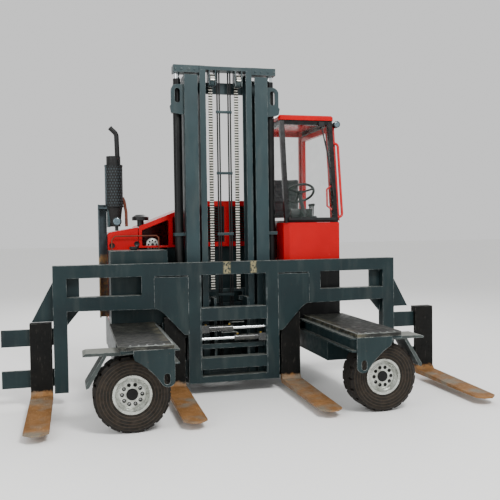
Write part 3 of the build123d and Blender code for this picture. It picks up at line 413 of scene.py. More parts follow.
@dataclass(frozen=True)
class ForkFrameEnamel(SprayedEnamel):
    """The fork frame's slate enamel: the eye sees two ochre patches of primer on the top beam."""

    # left and right end of each bare place; their bottom and top
    primer_mm: tuple[tuple[float, float], ...] = ((-98, -33), (165, 222))
    height_mm: tuple[float, float] = (1142, 1262)

    def marks(self, s: Shader) -> list[tuple[Socket, Colour]]:
        """Lay primer where the paint is rubbed through.

        Args:
            s: the shader.

        Returns:
            Mask and colour of each place.
        """
        low, high = self.height_mm
        found = []
        for left, right in self.primer_mm:
            place = s.where_all(
                s.beyond("X", left - 8, left + 8), s.beyond("X", right + 8, right - 8),
                s.beyond("Z", low - 6, low + 6), s.beyond("Z", high, high - 6),
                s.patches(15, 0.4, 0.52),
            )
            found.append((place, linear("80785a")))
        return found


@dataclass(frozen=True)
class AxleEnamel(SprayedEnamel):
    """Steering yoke and mudguard: grey enamel; the eye sees a black hub in the rim."""

    axles_mm: tuple[Point, ...] = FRONT_AXLES
    hub_mm: float = 70.0

    def marks(self, s: Shader) -> list[tuple[Socket, Colour]]:
        """Blacken the hub.

        Args:
            s: the shader.

        Returns:
            Mask and colour of the hub.
        """
        away = s.axle_distance(self.axles_mm, "XZ")
        return [(s.beyond(away, self.hub_mm + 5, self.hub_mm), linear("0d0d0d"))]


@dataclass(frozen=True)
class DeckPlate(Finish):
    """Dark hot-rolled deck plate, scuffed bright by the loads dragged across it."""

    BASE: Constants = {"IOR": 1.5, "Specular_IOR_Level": 0.3}
    # the inner edge is rubbed under the second, and fades out to the first
    inner_mm: tuple[float, float] = (830, 770)

    def paint(self, s: Shader) -> None:
        """Paint it: the eye sees near-black plate, pale scuffs and a bright edge.

        Args:
            s: the shader.
        """
        start, full = self.inner_mm
        sides = {0: s.beyond("X", -start, -full), 1: s.beyond("X", start, full)}
        inner = s.add("Math", sides, operation="MINIMUM")
        base = s.coats(
            linear("1a1c19"),
            (s.patches(160, 0.3, 0.7, 1, 8), linear("0f100e")),
            (s.patches(26, 0.54, 0.68, 0.25, 7, (0.25, 1, 1)), linear("6c6c61")),
            # drag lines, 5 mm wide
            (s.patches(5, 0.66, 0.7, 0.3, 2, (0.04, 1, 1)), linear("a5a496")),
            (s.where_all(inner, s.patches(60, 0.42, 0.6, 0.4, 7)), linear("6f6a55")),
            (s.rubbed_edges(7, 50, 0.7), linear("8f928b")),
        )
        s.feed(Base_Color=base)
        s.sheen_patches(0.42, 0.7, 40)
        s.relief(s.patches(4, 0.2, 0.8, 1, 3), 0.1)


@dataclass(frozen=True)
class ForgedFork(Finish):
    """Forged fork: black-painted shank, blade worn through to orange-brown rust."""

    BASE: Constants = {"IOR": 1.5, "Specular_IOR_Level": 0.16}
    # height of the paint's end, how far that strays, how wide it fades
    heel_mm: float = 150.0
    ragged_mm: float = 50.0
    fade_mm: float = 25.0

    def paint(self, s: Shader) -> None:
        """Paint it: the eye sees a black shank and a rusty blade with grey rubbed places.

        Args:
            s: the shader.
        """
        rust = s.coats(
            linear("86603a"),
            (s.patches(130, 0.35, 0.7, 0.8, 8), linear("64431f")),
            (s.patches(210, 0.48, 0.66, 0.75, 8), linear("6f6e64")),
            (s.patches(9, 0.58, 0.68, 0.25, 4, (1, 0.1, 1)), linear("b98f5e")),
            (s.patches(16, 0.64, 0.7, 0.5, 4), linear("33251a")),
        )
        black = s.coats(
            linear("080908"),
            (s.patches(120, 0.4, 0.7, 1, 6), linear("100f0d")),
            (s.rubbed_edges(6, 40, 0.7), linear("6f6f69")),
            (s.patches(8, 0.66, 0.7, 0.4, 3, (1, 1, 0.1)), linear("4d4a44")),
        )
        height = s.add("SeparateXYZ", {0: s.place}, "Z")
        stray = s.patches(40, 0.2, 0.8, self.ragged_mm * MM)
        ragged = s.add("Math", {0: height, 1: stray}, operation="ADD")
        shank = s.beyond(ragged, self.heel_mm, self.heel_mm + self.fade_mm)
        s.feed(Base_Color=s.coats(rust, (shank, black)))
        s.sheen_patches(0.48, 0.78, 30)
        s.relief(s.patches(5, 0.2, 0.8, 1, 6), 0.4)


@dataclass(frozen=True)
class MouldedRubber(Finish):
    """Solid tyre: dark rubber, brown dust on the side wall, moulding rings round it with a
    painted highlight on their crests.
    """

    BASE: Constants = {"IOR": 1.52, "Specular_IOR_Level": 0.25}
    axles_mm: tuple[Point, ...]
    # pitch of the moulding rings; where the dark tread begins, and is full
    ring_mm: float = 24.0
    tread_mm: tuple[float, float] = (262, 285)

    def paint(self, s: Shader) -> None:
        """Paint it: the eye sees dusty brown-black rubber with turned rings, lighter on their
        crests with painted highlight.

        Args:
            s: the shader.
        """
        away = s.axle_distance(self.axles_mm, "XZ")
        per_ring = 2 * math.pi / (self.ring_mm * MM)
        turn = s.add("Math", {0: away, 1: per_ring}, operation="MULTIPLY")
        wave = s.add("Math", {0: turn}, operation="SINE")
        ring = s.add("MapRange", {"Value": wave, "From Min": 0.6, "From Max": 1.0})
        base = s.coats(
            linear("15120e"),
            # painted highlight on the crests of the moulding rings
            (s.where_all(ring, 0.7), linear("40362a")),
            (s.patches(45, 0.4, 0.75, 0.5, 7), linear("33291e")),
            (s.beyond(away, *self.tread_mm, 0.7), linear("12100e")),
        )
        s.feed(Base_Color=base)
        s.sheen_patches(0.6, 0.9, 20)
        raised = s.add("Math", {0: s.patches(5, 0.2, 0.8, 0.2), 1: ring}, operation="ADD")
        s.relief(raised, 2.0, 4)


@dataclass(frozen=True)
class RimEnamel(Finish):
    """Silvery enamel on a pressed rim, with painted shade in the wheel-nut seats."""

    BASE: Constants = {"IOR": 1.5, "Metallic": 0.7}
    axles_mm: tuple[Point, ...]
    # radius of the nuts' circle, their number, radius of the painted shade round each
    nut_circle_mm: float = 77.0
    nuts: int = 10
    seat_mm: float = 15.0

    def paint(self, s: Shader) -> None:
        """Paint it: the eye sees a bright dish with painted shade in its ten nut seats.

        Args:
            s: the shader.
        """
        seats = []
        for x, _, z in self.axles_mm:
            for index in range(self.nuts):
                angle = 2 * math.pi * index / self.nuts
                across = self.nut_circle_mm * math.cos(angle)
                seats.append((x + across, 0, z + self.nut_circle_mm * math.sin(angle)))
        away = s.axle_distance(tuple(seats), "XZ")
        base = s.coats(
            linear("b4b7b0"),
            (s.patches(50, 0.45, 0.75, 1, 6), linear("7a7b73")),
            (s.patches(14, 0.62, 0.7, 0.6, 4), linear("57503f")),
            # painted shade in the recessed nut seats
            (s.beyond(away, self.seat_mm + 2, self.seat_mm), linear("20221f")),
        )
        s.feed(Base_Color=base)
        s.sheen_patches(0.22, 0.42, 30)
        s.relief(s.patches(3, 0.2, 0.8), 0.05, 4)


@dataclass(frozen=True)
class SootyStack(Finish):
    """Silencer in a perforated guard, on a painted channel post."""

    BASE: Constants = {"IOR": 1.5, "Specular_IOR_Level": 0.3}
    axis_mm: Point = SILENCER_AXIS
    # the perforated guard: bottom and top, inner and outer radius
    guard_mm: tuple[float, float] = (1805, 2200)
    shell_mm: tuple[float, float] = (84, 90.5)
    # pitch of the holes, drawn coarser than the real 12 mm so that they show
    hole_mm: float = 28.0
    holes_round: int = 20
    # where the post and its rust begin, and are full
    post_mm: tuple[float, float] = (-1132, -1136)
    rust_mm: tuple[float, float] = (1330, 1320)

    def holes(self, s: Shader) -> Socket:
        """Mask of the guard's holes, in rows set half a pitch apart.

        Args:
            s: the shader.

        Returns:
            The mask.
        """
        origin = tuple(c * MM for c in self.axis_mm)
        moved = s.add("VectorMath", {0: s.place, 1: origin}, operation="SUBTRACT")
        x, y, z = (s.add("SeparateXYZ", {0: moved}, axis) for axis in "XYZ")
        angle = s.add("Math", {0: y, 1: x}, operation="ARCTAN2")
        per_turn = self.holes_round / (2 * math.pi)
        around = s.add("Math", {0: angle, 1: per_turn}, operation="MULTIPLY")
        up = s.add("Math", {0: z, 1: 1 / (self.hole_mm * MM)}, operation="MULTIPLY")
        row = s.add("Math", {0: up}, operation="FLOOR")
        half_row = s.add("Math", {0: row, 1: 0.5}, operation="MULTIPLY")
        along = s.add("Math", {0: around, 1: half_row}, operation="ADD")
        column = s.add("Math", {0: along, 1: 1.0}, operation="FLOORED_MODULO")
        rise = s.add("Math", {0: up}, operation="FRACT")
        cell = s.add("CombineXYZ", {0: column, 1: rise})
        centre = (0.5, 0.5, 0)
        middle = s.add("VectorMath", {0: cell, 1: centre}, "Value", operation="DISTANCE")
        radius = s.axle_distance((self.axis_mm,), "XY")
        inner, outer = self.shell_mm
        low, high = self.guard_mm
        return s.where_all(
            s.add("MapRange", {"Value": middle, "From Min": 0.32, "From Max": 0.24}),
            s.beyond("Z", low, low + 2),
            s.beyond("Z", high, high - 2),
            s.beyond(radius, inner, inner + 3),
            s.beyond(radius, outer, outer - 1),
        )

    def paint(self, s: Shader) -> None:
        """Paint it: the eye sees rows of pale dots on a dark tube and a slate post.

        Args:
            s: the shader.
        """
        hole = self.holes(s)
        post = s.beyond("X", *self.post_mm)
        rust = s.where_all(post, s.beyond("Z", *self.rust_mm), s.patches(60, 0.35, 0.6))
        base = s.coats(
            linear("0c0f10"),
            (s.patches(60, 0.3, 0.7, 1, 7), linear("0a0908")),
            (hole, linear("2b3539")),
            (post, linear("39454a")),
            (s.where_all(post, s.patches(90, 0.4, 0.7)), linear("2c373b")),
            (rust, linear("8a7048")),
        )
        s.feed(Base_Color=base)
        s.sheen_patches(0.4, 0.65, 30)
        s.relief(hole, 1.5)


@dataclass(frozen=True)
class CabEnamel(Finish):
    """Cab frame: black at the screen, red behind the door and on the grab rail."""

    BASE: Constants = {"IOR": 1.5, "Specular_IOR_Level": 0.3}
    # where the red rear posts begin, and the grab rail's inner and rear end
    rear_y: float = 1000.0
    rail_x: float = 1128.0
    rail_y: float = 500.0

    def paint(self, s: Shader) -> None:
        """Paint it: the eye sees black screen posts and red rear posts.

        Args:
            s: the shader.
        """
        red = s.coats(linear("b20009"), (s.patches(300, 0.4, 0.7), linear("a00008")))
        out = s.beyond("X", self.rail_x, self.rail_x + 3)
        rail = s.where_all(out, s.beyond("Y", self.rail_y, self.rail_y - 10))
        rear = s.beyond("Y", self.rear_y, self.rear_y + 4)
        where = s.add("Math", {0: rear, 1: rail}, operation="MAXIMUM")
        grime = (s.patches(90, 0.4, 0.7), linear("11100f"))
        s.feed(Base_Color=s.coats(linear("08090a"), grime, (where, red)))
        s.sheen_patches(0.2, 0.38)
        s.relief(s.patches(3, 0.2, 0.8, 1, 2), 0.03)


@dataclass(frozen=True)
class RamSteel(Finish):
    """Fork positioners: black barrels and hard-chromed rods."""

    BASE: Constants = {}
    axes_mm: tuple[Point, ...] = ((0, -66, 620), (0, -66, 525))
    rod_mm: float = 16.5

    def paint(self, s: Shader) -> None:
        """Paint it: the eye sees mirror-bright rods out of dull black barrels.

        Args:
            s: the shader.
        """
        rod = s.beyond(s.axle_distance(self.axes_mm, "YZ"), self.rod_mm + 1, self.rod_mm)
        black = s.coats(linear("1c1f20"), (s.patches(40, 0.4, 0.7), linear("3a3a35")))
        s.feed(Base_Color=s.coats(black, (rod, linear("d5dadb"))), Metallic=rod)
        s.sheen_patches(0.14, 0.3, 25)
        s.relief(s.patches(4, 0.2, 0.8), 0.05)


@dataclass(frozen=True)
class GreasyChainPaintedLight(Finish):
    """Leaf chain: plate edges painted bright as a highlight, and dark between them with grease
    and painted shade.
    """

    BASE: Constants = {"Metallic": 0.6}
    pitch_mm: float = 25.4

    def paint(self, s: Shader) -> None:
        """Paint it: the eye sees bright rungs of painted highlight with dark gaps of painted
        shade, one to a link.

        Args:
            s: the shader.
        """
        height = s.add("SeparateXYZ", {0: s.place}, "Z")
        per_link = 2 * math.pi / (self.pitch_mm * MM)
        up = s.add("Math", {0: height, 1: per_link}, operation="MULTIPLY")
        wave = s.add("Math", {0: up}, operation="SINE")
        rung = s.add("MapRange", {"Value": wave, "From Min": -0.1, "From Max": 0.3})
        base = s.coats(
            # the dark base between the links is painted shade with grease; the bright rungs are
            # painted highlight on the plate edges
            linear("0b0a08"),
            (rung, linear("d9d7cc")),
            (s.patches(30, 0.55, 0.7, 0.6, 5), linear("4c473b")),
        )
        s.feed(Base_Color=base)
        s.sheen_patches(0.3, 0.55, 12)
        s.relief(rung, 1.0)


@dataclass(frozen=True)
class Moulding(Finish):
    """Even finish, such as moulded plastic, chrome plate, cast iron or lens glass.

    Args:
        colour: sRGB code.
        shade: sRGB code of its uneven places.
        rough: roughness.
        metallic: metallic value.
        grain_mm: size of the surface grain.
        depth_mm: depth of the grain.
        ior: index of refraction.
        gloss: specular level.
    """

    colour: str
    shade: str
    rough: float
    metallic: float = 0.0
    grain_mm: float = 3.0
    depth_mm: float = 0.06
    ior: float = 1.49
    gloss: float = 0.4

    def constants(self) -> dict[str, float]:
        """Values for the surface's own sockets."""
        return {"Metallic": self.metallic, "IOR": self.ior, "Specular_IOR_Level": self.gloss}

    def paint(self, s: Shader) -> None:
        """Paint it: the eye sees one colour with a fine grain.

        Args:
            s: the shader.
        """
        shade = (s.patches(80, 0.3, 0.8), linear(self.shade))
        s.feed(Base_Color=s.coats(linear(self.colour), shade))
        s.sheen_patches(self.rough, min(1.0, self.rough + 0.12), 40)
        s.relief(s.patches(self.grain_mm, 0.2, 0.8, 1, 3), self.depth_mm, 2)


@dataclass(frozen=True)
class Weave(Finish):
    """Plain-woven seat cloth."""

    BASE: Constants = {"Sheen_Weight": 0.4, "IOR": 1.45}
    # pitch of the threads, drawn coarser than the real 1 mm so that they show
    thread_mm: float = 5.0

    def paint(self, s: Shader) -> None:
        """Paint it: the eye sees dark matt cloth with a crossed thread.

        Args:
            s: the shader.
        """
        pitch = {"Vector": s.place, "Scale": 1 / (self.thread_mm * MM) / 6.28}
        threads = [s.add("TexWave", pitch, 1, bands_direction=way) for way in "XZ"]
        weave = s.where_all(*threads)
        worn = (s.patches(120, 0.4, 0.8), linear("0c0c0c"))
        s.feed(Base_Color=s.coats(linear("0f1012"), (weave, linear("2b2d33")), worn))
        s.sheen_patches(0.85, 0.95)
        s.relief(weave, 0.6, 2)


@dataclass(frozen=True)
class ToughenedGlass(Finish):
    """Cab glazing, clear with a faint green tint and a film of dust."""

    BASE: Constants = {"IOR": 1.52, "Roughness": 0.04}
    # how much the thinnest and the thickest film hides
    film: tuple[float, float] = (0.02, 0.07)

    def paint(self, s: Shader) -> None:
        """Paint it: the eye sees through it, with a thin film and gloss.

        Args:
            s: the shader.
        """
        thin, thick = self.film
        ends = {"To Min": thin, "To Max": thick}
        film = s.add("MapRange", {"Value": s.patches(120, 0.35, 0.8), **ends})
        tint = s.coats(linear("74867f"), (s.patches(90, 0.4, 0.8), linear("94a39d")))
        s.feed(Base_Color=tint, Alpha=film)


FINISHES: dict[str, Finish] = {
    "slate_enamel": SprayedEnamel("19292b", "132022", 0.34, 0.54, 0.75, 0.2),
    "fork_frame_enamel": ForkFrameEnamel("19292b", "132023", 0.34, 0.54, 0.75, 0.2),
    "weathered_enamel": AxleEnamel("3d4443", "2c3231", 0.45, 0.65, 0.85, 0.35),
    "mast_enamel": SprayedEnamel("29393c", "223033", 0.34, 0.52, 0.45, 0.2),
    "red_enamel": SprayedEnamel("b20009", "a00008", 0.14, 0.28, 0.05, 0.03, 0.2),
    "black_enamel": SprayedEnamel("0d0e0f", "090a0b", 0.3, 0.5, 0.45, 0.2),
    "hot_rolled_plate": DeckPlate(),
    "forged_steel": ForgedFork(),
    "front_tyre_rubber": MouldedRubber(FRONT_AXLES),
    "rear_tyre_rubber": MouldedRubber(REAR_AXLE),
    "front_rim_enamel": RimEnamel(FRONT_AXLES),
    "rear_rim_enamel": RimEnamel(REAR_AXLE),
    "silencer_steel": SootyStack(),
    "cab_enamel": CabEnamel(),
    "ram_steel": RamSteel(),
    "leaf_chain_steel": GreasyChainPaintedLight(),
    "hard_chrome": Moulding("dfe4e6", "c4cacc", 0.08, 1.0, 8.0, 0.0, 1.5),
    "cast_aluminium": Moulding("c4c6c1", "8e8f8a", 0.35, 0.5, 4.0, 0.2, 1.5),
    "cast_iron": Moulding("181817", "0e0e0d", 0.55, 0.3, 6.0, 0.3),
    "black_mesh": Moulding("0c0807", "060404", 0.6),
    "black_abs": Moulding("0c0d0e", "070808", 0.4),
    "hose_rubber": Moulding("0a0a0a", "060606", 0.45),
    "lens_glass": Moulding("66777f", "4a5960", 0.06, 0.2, 8.0, 0.0, 1.5),
    "worn_mild_steel": Moulding("8f9390", "5d615f", 0.36, 0.6, 9.0, 0.2, 1.5),
    "yellow_zinc": Moulding("c9a850", "94793a", 0.3, 0.8, 3.0, 0.03, 1.5),
    "rusty_steel_pipe": Moulding("6a3420", "4a2416", 0.7, 0.0, 6.0, 0.3),
    "red_nylon": Moulding("b8040c", "98030a", 0.22),
    "seat_cloth": Weave(),
    "toughened_glass": ToughenedGlass(),
}

NODE_FINISH = {
    "slate_enamel": (
        "left_arm right_arm rear_frame counterweight hydraulic_tank reach_carriage rear_yoke"
    ),
    "fork_frame_enamel": "fork_frame",
    "weathered_enamel": "left_yoke right_yoke",
    "mast_enamel": "outer_mast inner_mast",
    "red_enamel": "engine_hood side_bodywork cab_panels cab_roof cab_door",
    "black_enamel": "cab_base lift_cylinders",
    "black_mesh": "engine_grille",
    "cab_enamel": "cab_frame",
    "ram_steel": "positioner_cylinders",
    "front_rim_enamel": "left_front_rim right_front_rim",
    "rear_rim_enamel": "rear_rim",
    "hot_rolled_plate": "left_deck right_deck",
    "forged_steel": "left_outer_fork left_inner_fork right_inner_fork right_outer_fork",
    "leaf_chain_steel": "lift_chains",
    "hard_chrome": "lift_rods",
    "front_tyre_rubber": "left_front_tyre right_front_tyre",
    "rear_tyre_rubber": "rear_tyre",
    "silencer_steel": "exhaust_stack",
    "cast_iron": "engine_block",
    "toughened_glass": "cab_glass door_glass",
    "black_abs": "steering_column steering_wheel intake_cap lamps driver_seat",
}


class Materials:
    """Builds each finish once and hands it out."""

    def __init__(self) -> None:
        """Start with nothing built."""
        self.made: dict[str, bpy.types.Material] = {}

    def get(self, name: str) -> bpy.types.Material:
        """Give a finish's material, built at first use.

        Args:
            name: name of the finish.

        Returns:
            The material.
        """
        if name not in self.made:
            self.made[name] = FINISHES[name].build(name)
        return self.made[name]

    def dress(self, nodes: dict[str, bpy.types.Object]) -> None:
        """Give every node of the frame its finish.

        Args:
            nodes: the frame's objects by name.
        """
        for finish, names in NODE_FINISH.items():
            for name in names.split():
                if not nodes[name].material_slots:
                    nodes[name].data.materials.append(self.get(finish))
                for slot in nodes[name].material_slots:
                    slot.material = self.get(finish)
                log.info("%s is dressed in %s", name, finish)


class Piece:
    """A mesh piece made with bmesh operators, in millimetres of the machine's frame."""

    def __init__(self, name: str) -> None:
        """Start an empty mesh."""
        self.name = name
        self.mesh = bmesh.new()

    def block(self, low: Point, high: Point) -> "Piece":
        """Add a block.

        Args:
            low: its low corner.
            high: its high corner.

        Returns:
            The piece.
        """
        centre = Vector([(a + b) / 2 * MM for a, b in zip(low, high)])
        size = [abs(b - a) * MM for a, b in zip(low, high)]
        place = Matrix.Translation(centre) @ Matrix.Diagonal((*size, 1))
        bmesh.ops.create_cube(self.mesh, size=1, matrix=place)
        return self

    def bar(
        self, start: Point, end: Point, radius: float, sides: int = 16, tip: float | None = None
    ) -> "Piece":
        """Add a closed round bar.

        Args:
            start: centre of one end.
            end: centre of the other end.
            radius: its radius.
            sides: faces round it.
            tip: radius at the end, where it tapers.

        Returns:
            The piece.
        """
        a, b = Vector(start) * MM, Vector(end) * MM
        turn = (b - a).to_track_quat("Z", "Y").to_matrix().to_4x4()
        bmesh.ops.create_cone(
            self.mesh, cap_ends=True, segments=sides, radius1=radius * MM,
            radius2=(radius if tip is None else tip) * MM, depth=(b - a).length,
            matrix=Matrix.Translation((a + b) / 2) @ turn,
        )
        return self

    def ball(self, centre: Point, radius: float) -> "Piece":
        """Add a ball.

        Args:
            centre: its centre.
            radius: its radius.

        Returns:
            The piece.
        """
        bmesh.ops.create_uvsphere(
            self.mesh, u_segments=16, v_segments=10, radius=radius * MM,
            matrix=Matrix.Translation(Vector(centre) * MM),
        )
        return self

    def pipe(self, points: tuple[Point, ...], radius: float) -> "Piece":
        """Add a pipe of straight runs with ball elbows.

        Args:
            points: its centre line.
            radius: its radius.

        Returns:
            The piece.
        """
        for start, end in zip(points, points[1:]):
            self.bar(start, end, radius, 12)
        for point in points[1:-1]:
            self.ball(point, radius)
        return self

    def dish(self, centre: Point, axis: Point, profile: Profile, steps: int = 32) -> "Piece":
        """Spin a profile about an axis.

        Args:
            centre: where the axis starts.
            axis: direction of the axis.
            profile: radius and height of each corner.
            steps: divisions of the turn.

        Returns:
            The piece.
        """
        turn = Vector(axis).normalized().to_track_quat("Z", "Y").to_matrix()
        origin = Vector(centre) * MM
        corners = [origin + turn @ Vector((r * MM, 0, h * MM)) for r, h in profile]
        verts = [self.mesh.verts.new(corner) for corner in corners]
        edges = [self.mesh.edges.new(pair) for pair in zip(verts, verts[1:])]
        bmesh.ops.spin(
            self.mesh, geom=verts + edges, cent=origin, axis=turn @ Vector((0, 0, 1)),
            angle=2 * math.pi, steps=steps, use_merge=True,
        )
        bmesh.ops.remove_doubles(self.mesh, verts=self.mesh.verts[:], dist=WELD)
        bmesh.ops.recalc_face_normals(self.mesh, faces=self.mesh.faces[:])
        return self

    def finish(
        self, materials: Materials, cover: Cover, body: Body = Body.CHASSIS, bevel: float = 0.0,
        smooth: float = 40.0,
    ) -> bpy.types.Object:
        """Turn the mesh into an object that rides on a body.

        Args:
            materials: where the finish comes from.
            cover: its finish and material slot; the slot is not used.
            body: body of the frame.
            bevel: width of rounded edges in millimetres, or 0.
            smooth: angle in degrees under which faces shade as one.

        Returns:
            The new object.
        """
        turned = {e: e.calc_face_angle(0) for e in self.mesh.edges if len(e.link_faces) == 2}
        if bevel:
            bmesh.ops.bevel(
                self.mesh, geom=[e for e, angle in turned.items() if angle > SHARP_EDGE],
                offset=bevel * MM, segments=2, affect="EDGES", profile=0.5, material=-1,
                clamp_overlap=True,
            )
        for face in self.mesh.faces:
            face.smooth = True
        for edge in self.mesh.edges:
            flat = edge.calc_face_angle(0) < math.radians(smooth)
            edge.smooth = len(edge.link_faces) == 2 and flat
        finish, slot = cover.value
        data = bpy.data.meshes.new(self.name)
        self.mesh.to_mesh(data)
        self.mesh.free()
        made = bpy.data.objects.new(self.name, data)
        bpy.context.scene.collection.objects.link(made)
        data.materials.append(materials.get(finish))
        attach(made, body.value)
        log.info("%s rides on %s", self.name, body.value)
        return made


@dataclass
class DriverSeat:
    """The driver's seat: a boxed pedestal, and a cushion and a back swelled by cloth pressure."""

    materials: Materials
    pedestal_mm: Box = ((700, 660, 1170), (1000, 980, 1530))
    tray_mm: Box = ((690, 640, 1500), (1010, 990, 1536))
    # name, corners, axis along the rows of seams, thin axis
    pads: tuple[tuple[str, Box, int, int], ...] = (
        ("seat_cushion", ((640, 612, 1545), (1060, 1020, 1625)), 1, 2),
        ("seat_back", ((650, 1000, 1660), (1050, 1060, 2125)), 2, 1),
    )
    # rounding before the swelling, remesh size, and the cloth's pressure and time
    corner_mm: float = 22.0
    voxel_mm: float = 9.0
    pressure: float = 4.0
    frames: int = 20
    # furthest that a point moves; spacing, half width and share of depth of the seams
    swell_mm: float = 18.0
    channel_mm: float = 90.0
    seam_mm: float = 12.0
    pinch: float = 0.18

    def build(self) -> None:
        """Model the seat in the place of its plain solid."""
        frame = Piece("seat_pedestal").block(*self.pedestal_mm).block(*self.tray_mm)
        base = frame.finish(self.materials, Cover.BLACK, bevel=6)
        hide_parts("driver_seat")
        for name, corners, row_axis, thin_axis in self.pads:
            pad = self.pad(name, corners)
            self.swell(pad)
            self.sew(pad, corners, row_axis, thin_axis)

    def pad(self, name: str, corners: Box) -> bpy.types.Object:
        """Make a rounded pad, remeshed finely enough to swell.

        Args:
            name: its name.
            corners: its low and high corners.

        Returns:
            The pad.
        """
        block = Piece(name).block(*corners)
        made = block.finish(self.materials, Cover.CLOTH, bevel=self.corner_mm, smooth=180)
        remesh = made.modifiers.new("remesh", "REMESH")
        remesh.mode = "VOXEL"
        remesh.voxel_size = self.voxel_mm * MM
        self.keep_modified(made)
        return made

    def keep_modified(self, made: bpy.types.Object) -> None:
        """Apply every modifier of a piece.

        Args:
            made: the piece.
        """
        graph = bpy.context.evaluated_depsgraph_get()
        data = bpy.data.meshes.new_from_object(made.evaluated_get(graph))
        made.modifiers.clear()
        made.data = data

    def swell(self, made: bpy.types.Object) -> None:
        """Swell the pad with cloth pressure, and cap how far each point moves.

        Args:
            made: the pad.
        """
        start = [v.co.copy() for v in made.data.vertices]
        cloth = made.modifiers.new("cloth", "CLOTH")
        cloth.settings.use_pressure = True
        cloth.settings.uniform_pressure_force = self.pressure
        cloth.settings.effector_weights.gravity = 0
        scene = bpy.context.scene
        for frame_number in range(1, self.frames + 1):
            scene.frame_set(frame_number)
        self.keep_modified(made)
        scene.frame_set(1)
        for vert, first in zip(made.data.vertices, start):
            move = vert.co - first
            if move.length > self.swell_mm * MM:
                vert.co = first + move.normalized() * self.swell_mm * MM

    def sew(self, made: bpy.types.Object, corners: Box, row_axis: int, thin_axis: int) -> None:
        """Pull sewn channels into the pad.

        Args:
            made: the pad.
            corners: its low and high corners.
            row_axis: axis that the channels follow one another along.
            thin_axis: axis of the pad's thickness.
        """
        low, high = corners
        middle = (low[thin_axis] + high[thin_axis]) / 2 * MM
        count = (high[row_axis] - low[row_axis]) / self.channel_mm
        for vert in made.data.vertices:
            along = (vert.co[row_axis] / MM - low[row_axis]) / self.channel_mm
            away = abs(along - round(along)) * self.channel_mm
            if away < self.seam_mm and 0.5 < along < count - 0.4:
                left = 1 - self.pinch * (1 - (away / self.seam_mm) ** 2)
                vert.co[thin_axis] = middle + (vert.co[thin_axis] - middle) * left
        for face in made.data.polygons:
            face.use_smooth = True


@dataclass(frozen=True)
class Fitting:
    """A small piece: each of its parts is one of Piece's shapes with that shape's sizes."""

    name: str
    cover: Cover
    parts: tuple[tuple, ...]
    body: Body = Body.CHASSIS
    bevel: float = 0.0

    def build(self, materials: Materials) -> None:
        """Build it.

        Args:
            materials: where the finish comes from.
        """
        piece = Piece(self.name)
        for shape, *sizes in self.parts:
            shape(piece, *sizes)
        piece.finish(materials, self.cover, self.body, self.bevel)


@dataclass
class Assembly:
    """A sub-assembly whose plain fittings stand in a table."""

    materials: Materials
    fittings: tuple[Fitting, ...] = ()

    def build(self) -> None:
        """Build the fittings of the table, then the rest."""
        for fitting in self.fittings:
            fitting.build(self.materials)
        self.build_rest()

    def build_rest(self) -> None:
        """Build what is worked out from other sizes; here there is nothing more."""


@dataclass
class CabTrim(Assembly):
    """Small pieces of the cab: screen wiper and seal, levers, console, handle and door edge."""

    fittings: tuple[Fitting, ...] = (
        Fitting("inner_grab_handle", Cover.RED_NYLON, ((
            Piece.pipe,
            ((1076, 110, 1981), (1036, 124, 1950), (1036, 120, 1782), (1078, 96, 1742)), 9,
        ),)),
        Fitting("lever_console", Cover.PLASTIC, (
            (Piece.block, (1020, 560, 1170), (1088, 900, 1690)),
        ), bevel=10),
        Fitting("dash_panel", Cover.PLASTIC, (
            (Piece.block, (720, 330, 1640), (950, 372, 1760)),
        ), bevel=10),
        Fitting("door_latch", Cover.PLASTIC, (
            (Piece.block, (1139.5, 196, 1520), (1146, 236, 1640)),
            (Piece.bar, (1158, 216, 1540), (1158, 216, 1620), 8),
            (Piece.block, (1142, 210, 1536), (1160, 222, 1546)),
            (Piece.block, (1142, 210, 1614), (1160, 222, 1624)),
        ), Body.DOOR, 1),
        Fitting("door_edge_trim", Cover.RED_NYLON, (
            (Piece.bar, (1150, 108, 1630), (1150, 237, 2600), 15),
        ), Body.DOOR),
    )
    # the windscreen: y and z of its lower edge, and its lean for each millimetre of height
    screen_foot: tuple[float, float] = (40.0, 1615.0)
    screen_lean: float = 0.145
    # on the screen: x, z and distance off the glass
    wiper_arm: Box = ((1000, 2610, 12), (1066, 2190, 12))
    wiper_blade: Box = ((1036, 2440, 8), (1092, 1880, 8))
    seal: Box = ((600, 1640, 2), (1100, 1640, 2))
    wiper_motor: Box = ((972, 158, 2590), (1030, 188, 2636))
    lever_foot: Point = (1054, 590, 1688)
    lever_lean: Point = (-4, -26, 112)
    knob_lean: Point = (-4, -27, 120)
    levers: int = 4
    lever_step: float = 42.0

    def on_screen(self, x: float, z: float, off: float) -> Point:
        """A point off the windscreen's face."""
        return (x, self.screen_foot[0] + (z - self.screen_foot[1]) * self.screen_lean - off, z)

    def build_rest(self) -> None:
        """Build the wiper and the seal on the leaning screen, and the row of levers."""
        arm, blade, seal = (
            [self.on_screen(*end) for end in ends]
            for ends in (self.wiper_arm, self.wiper_blade, self.seal)
        )
        wiper = Piece("screen_wiper").block(*self.wiper_motor).bar(*arm, 8, 10, 6)
        wiper.bar(*blade, 7, 8).finish(self.materials, Cover.PLASTIC)
        Piece("screen_seal").bar(*seal, 24, 4).finish(self.materials, Cover.PLASTIC)
        levers = Piece("control_levers")
        for index in range(self.levers):
            foot = Vector(self.lever_foot) + Vector((0, index * self.lever_step, 0))
            levers.bar(foot, foot + Vector(self.lever_lean), 6, 10)
            levers.ball(foot + Vector(self.knob_lean), 16)
        levers.finish(self.materials, Cover.PLASTIC)


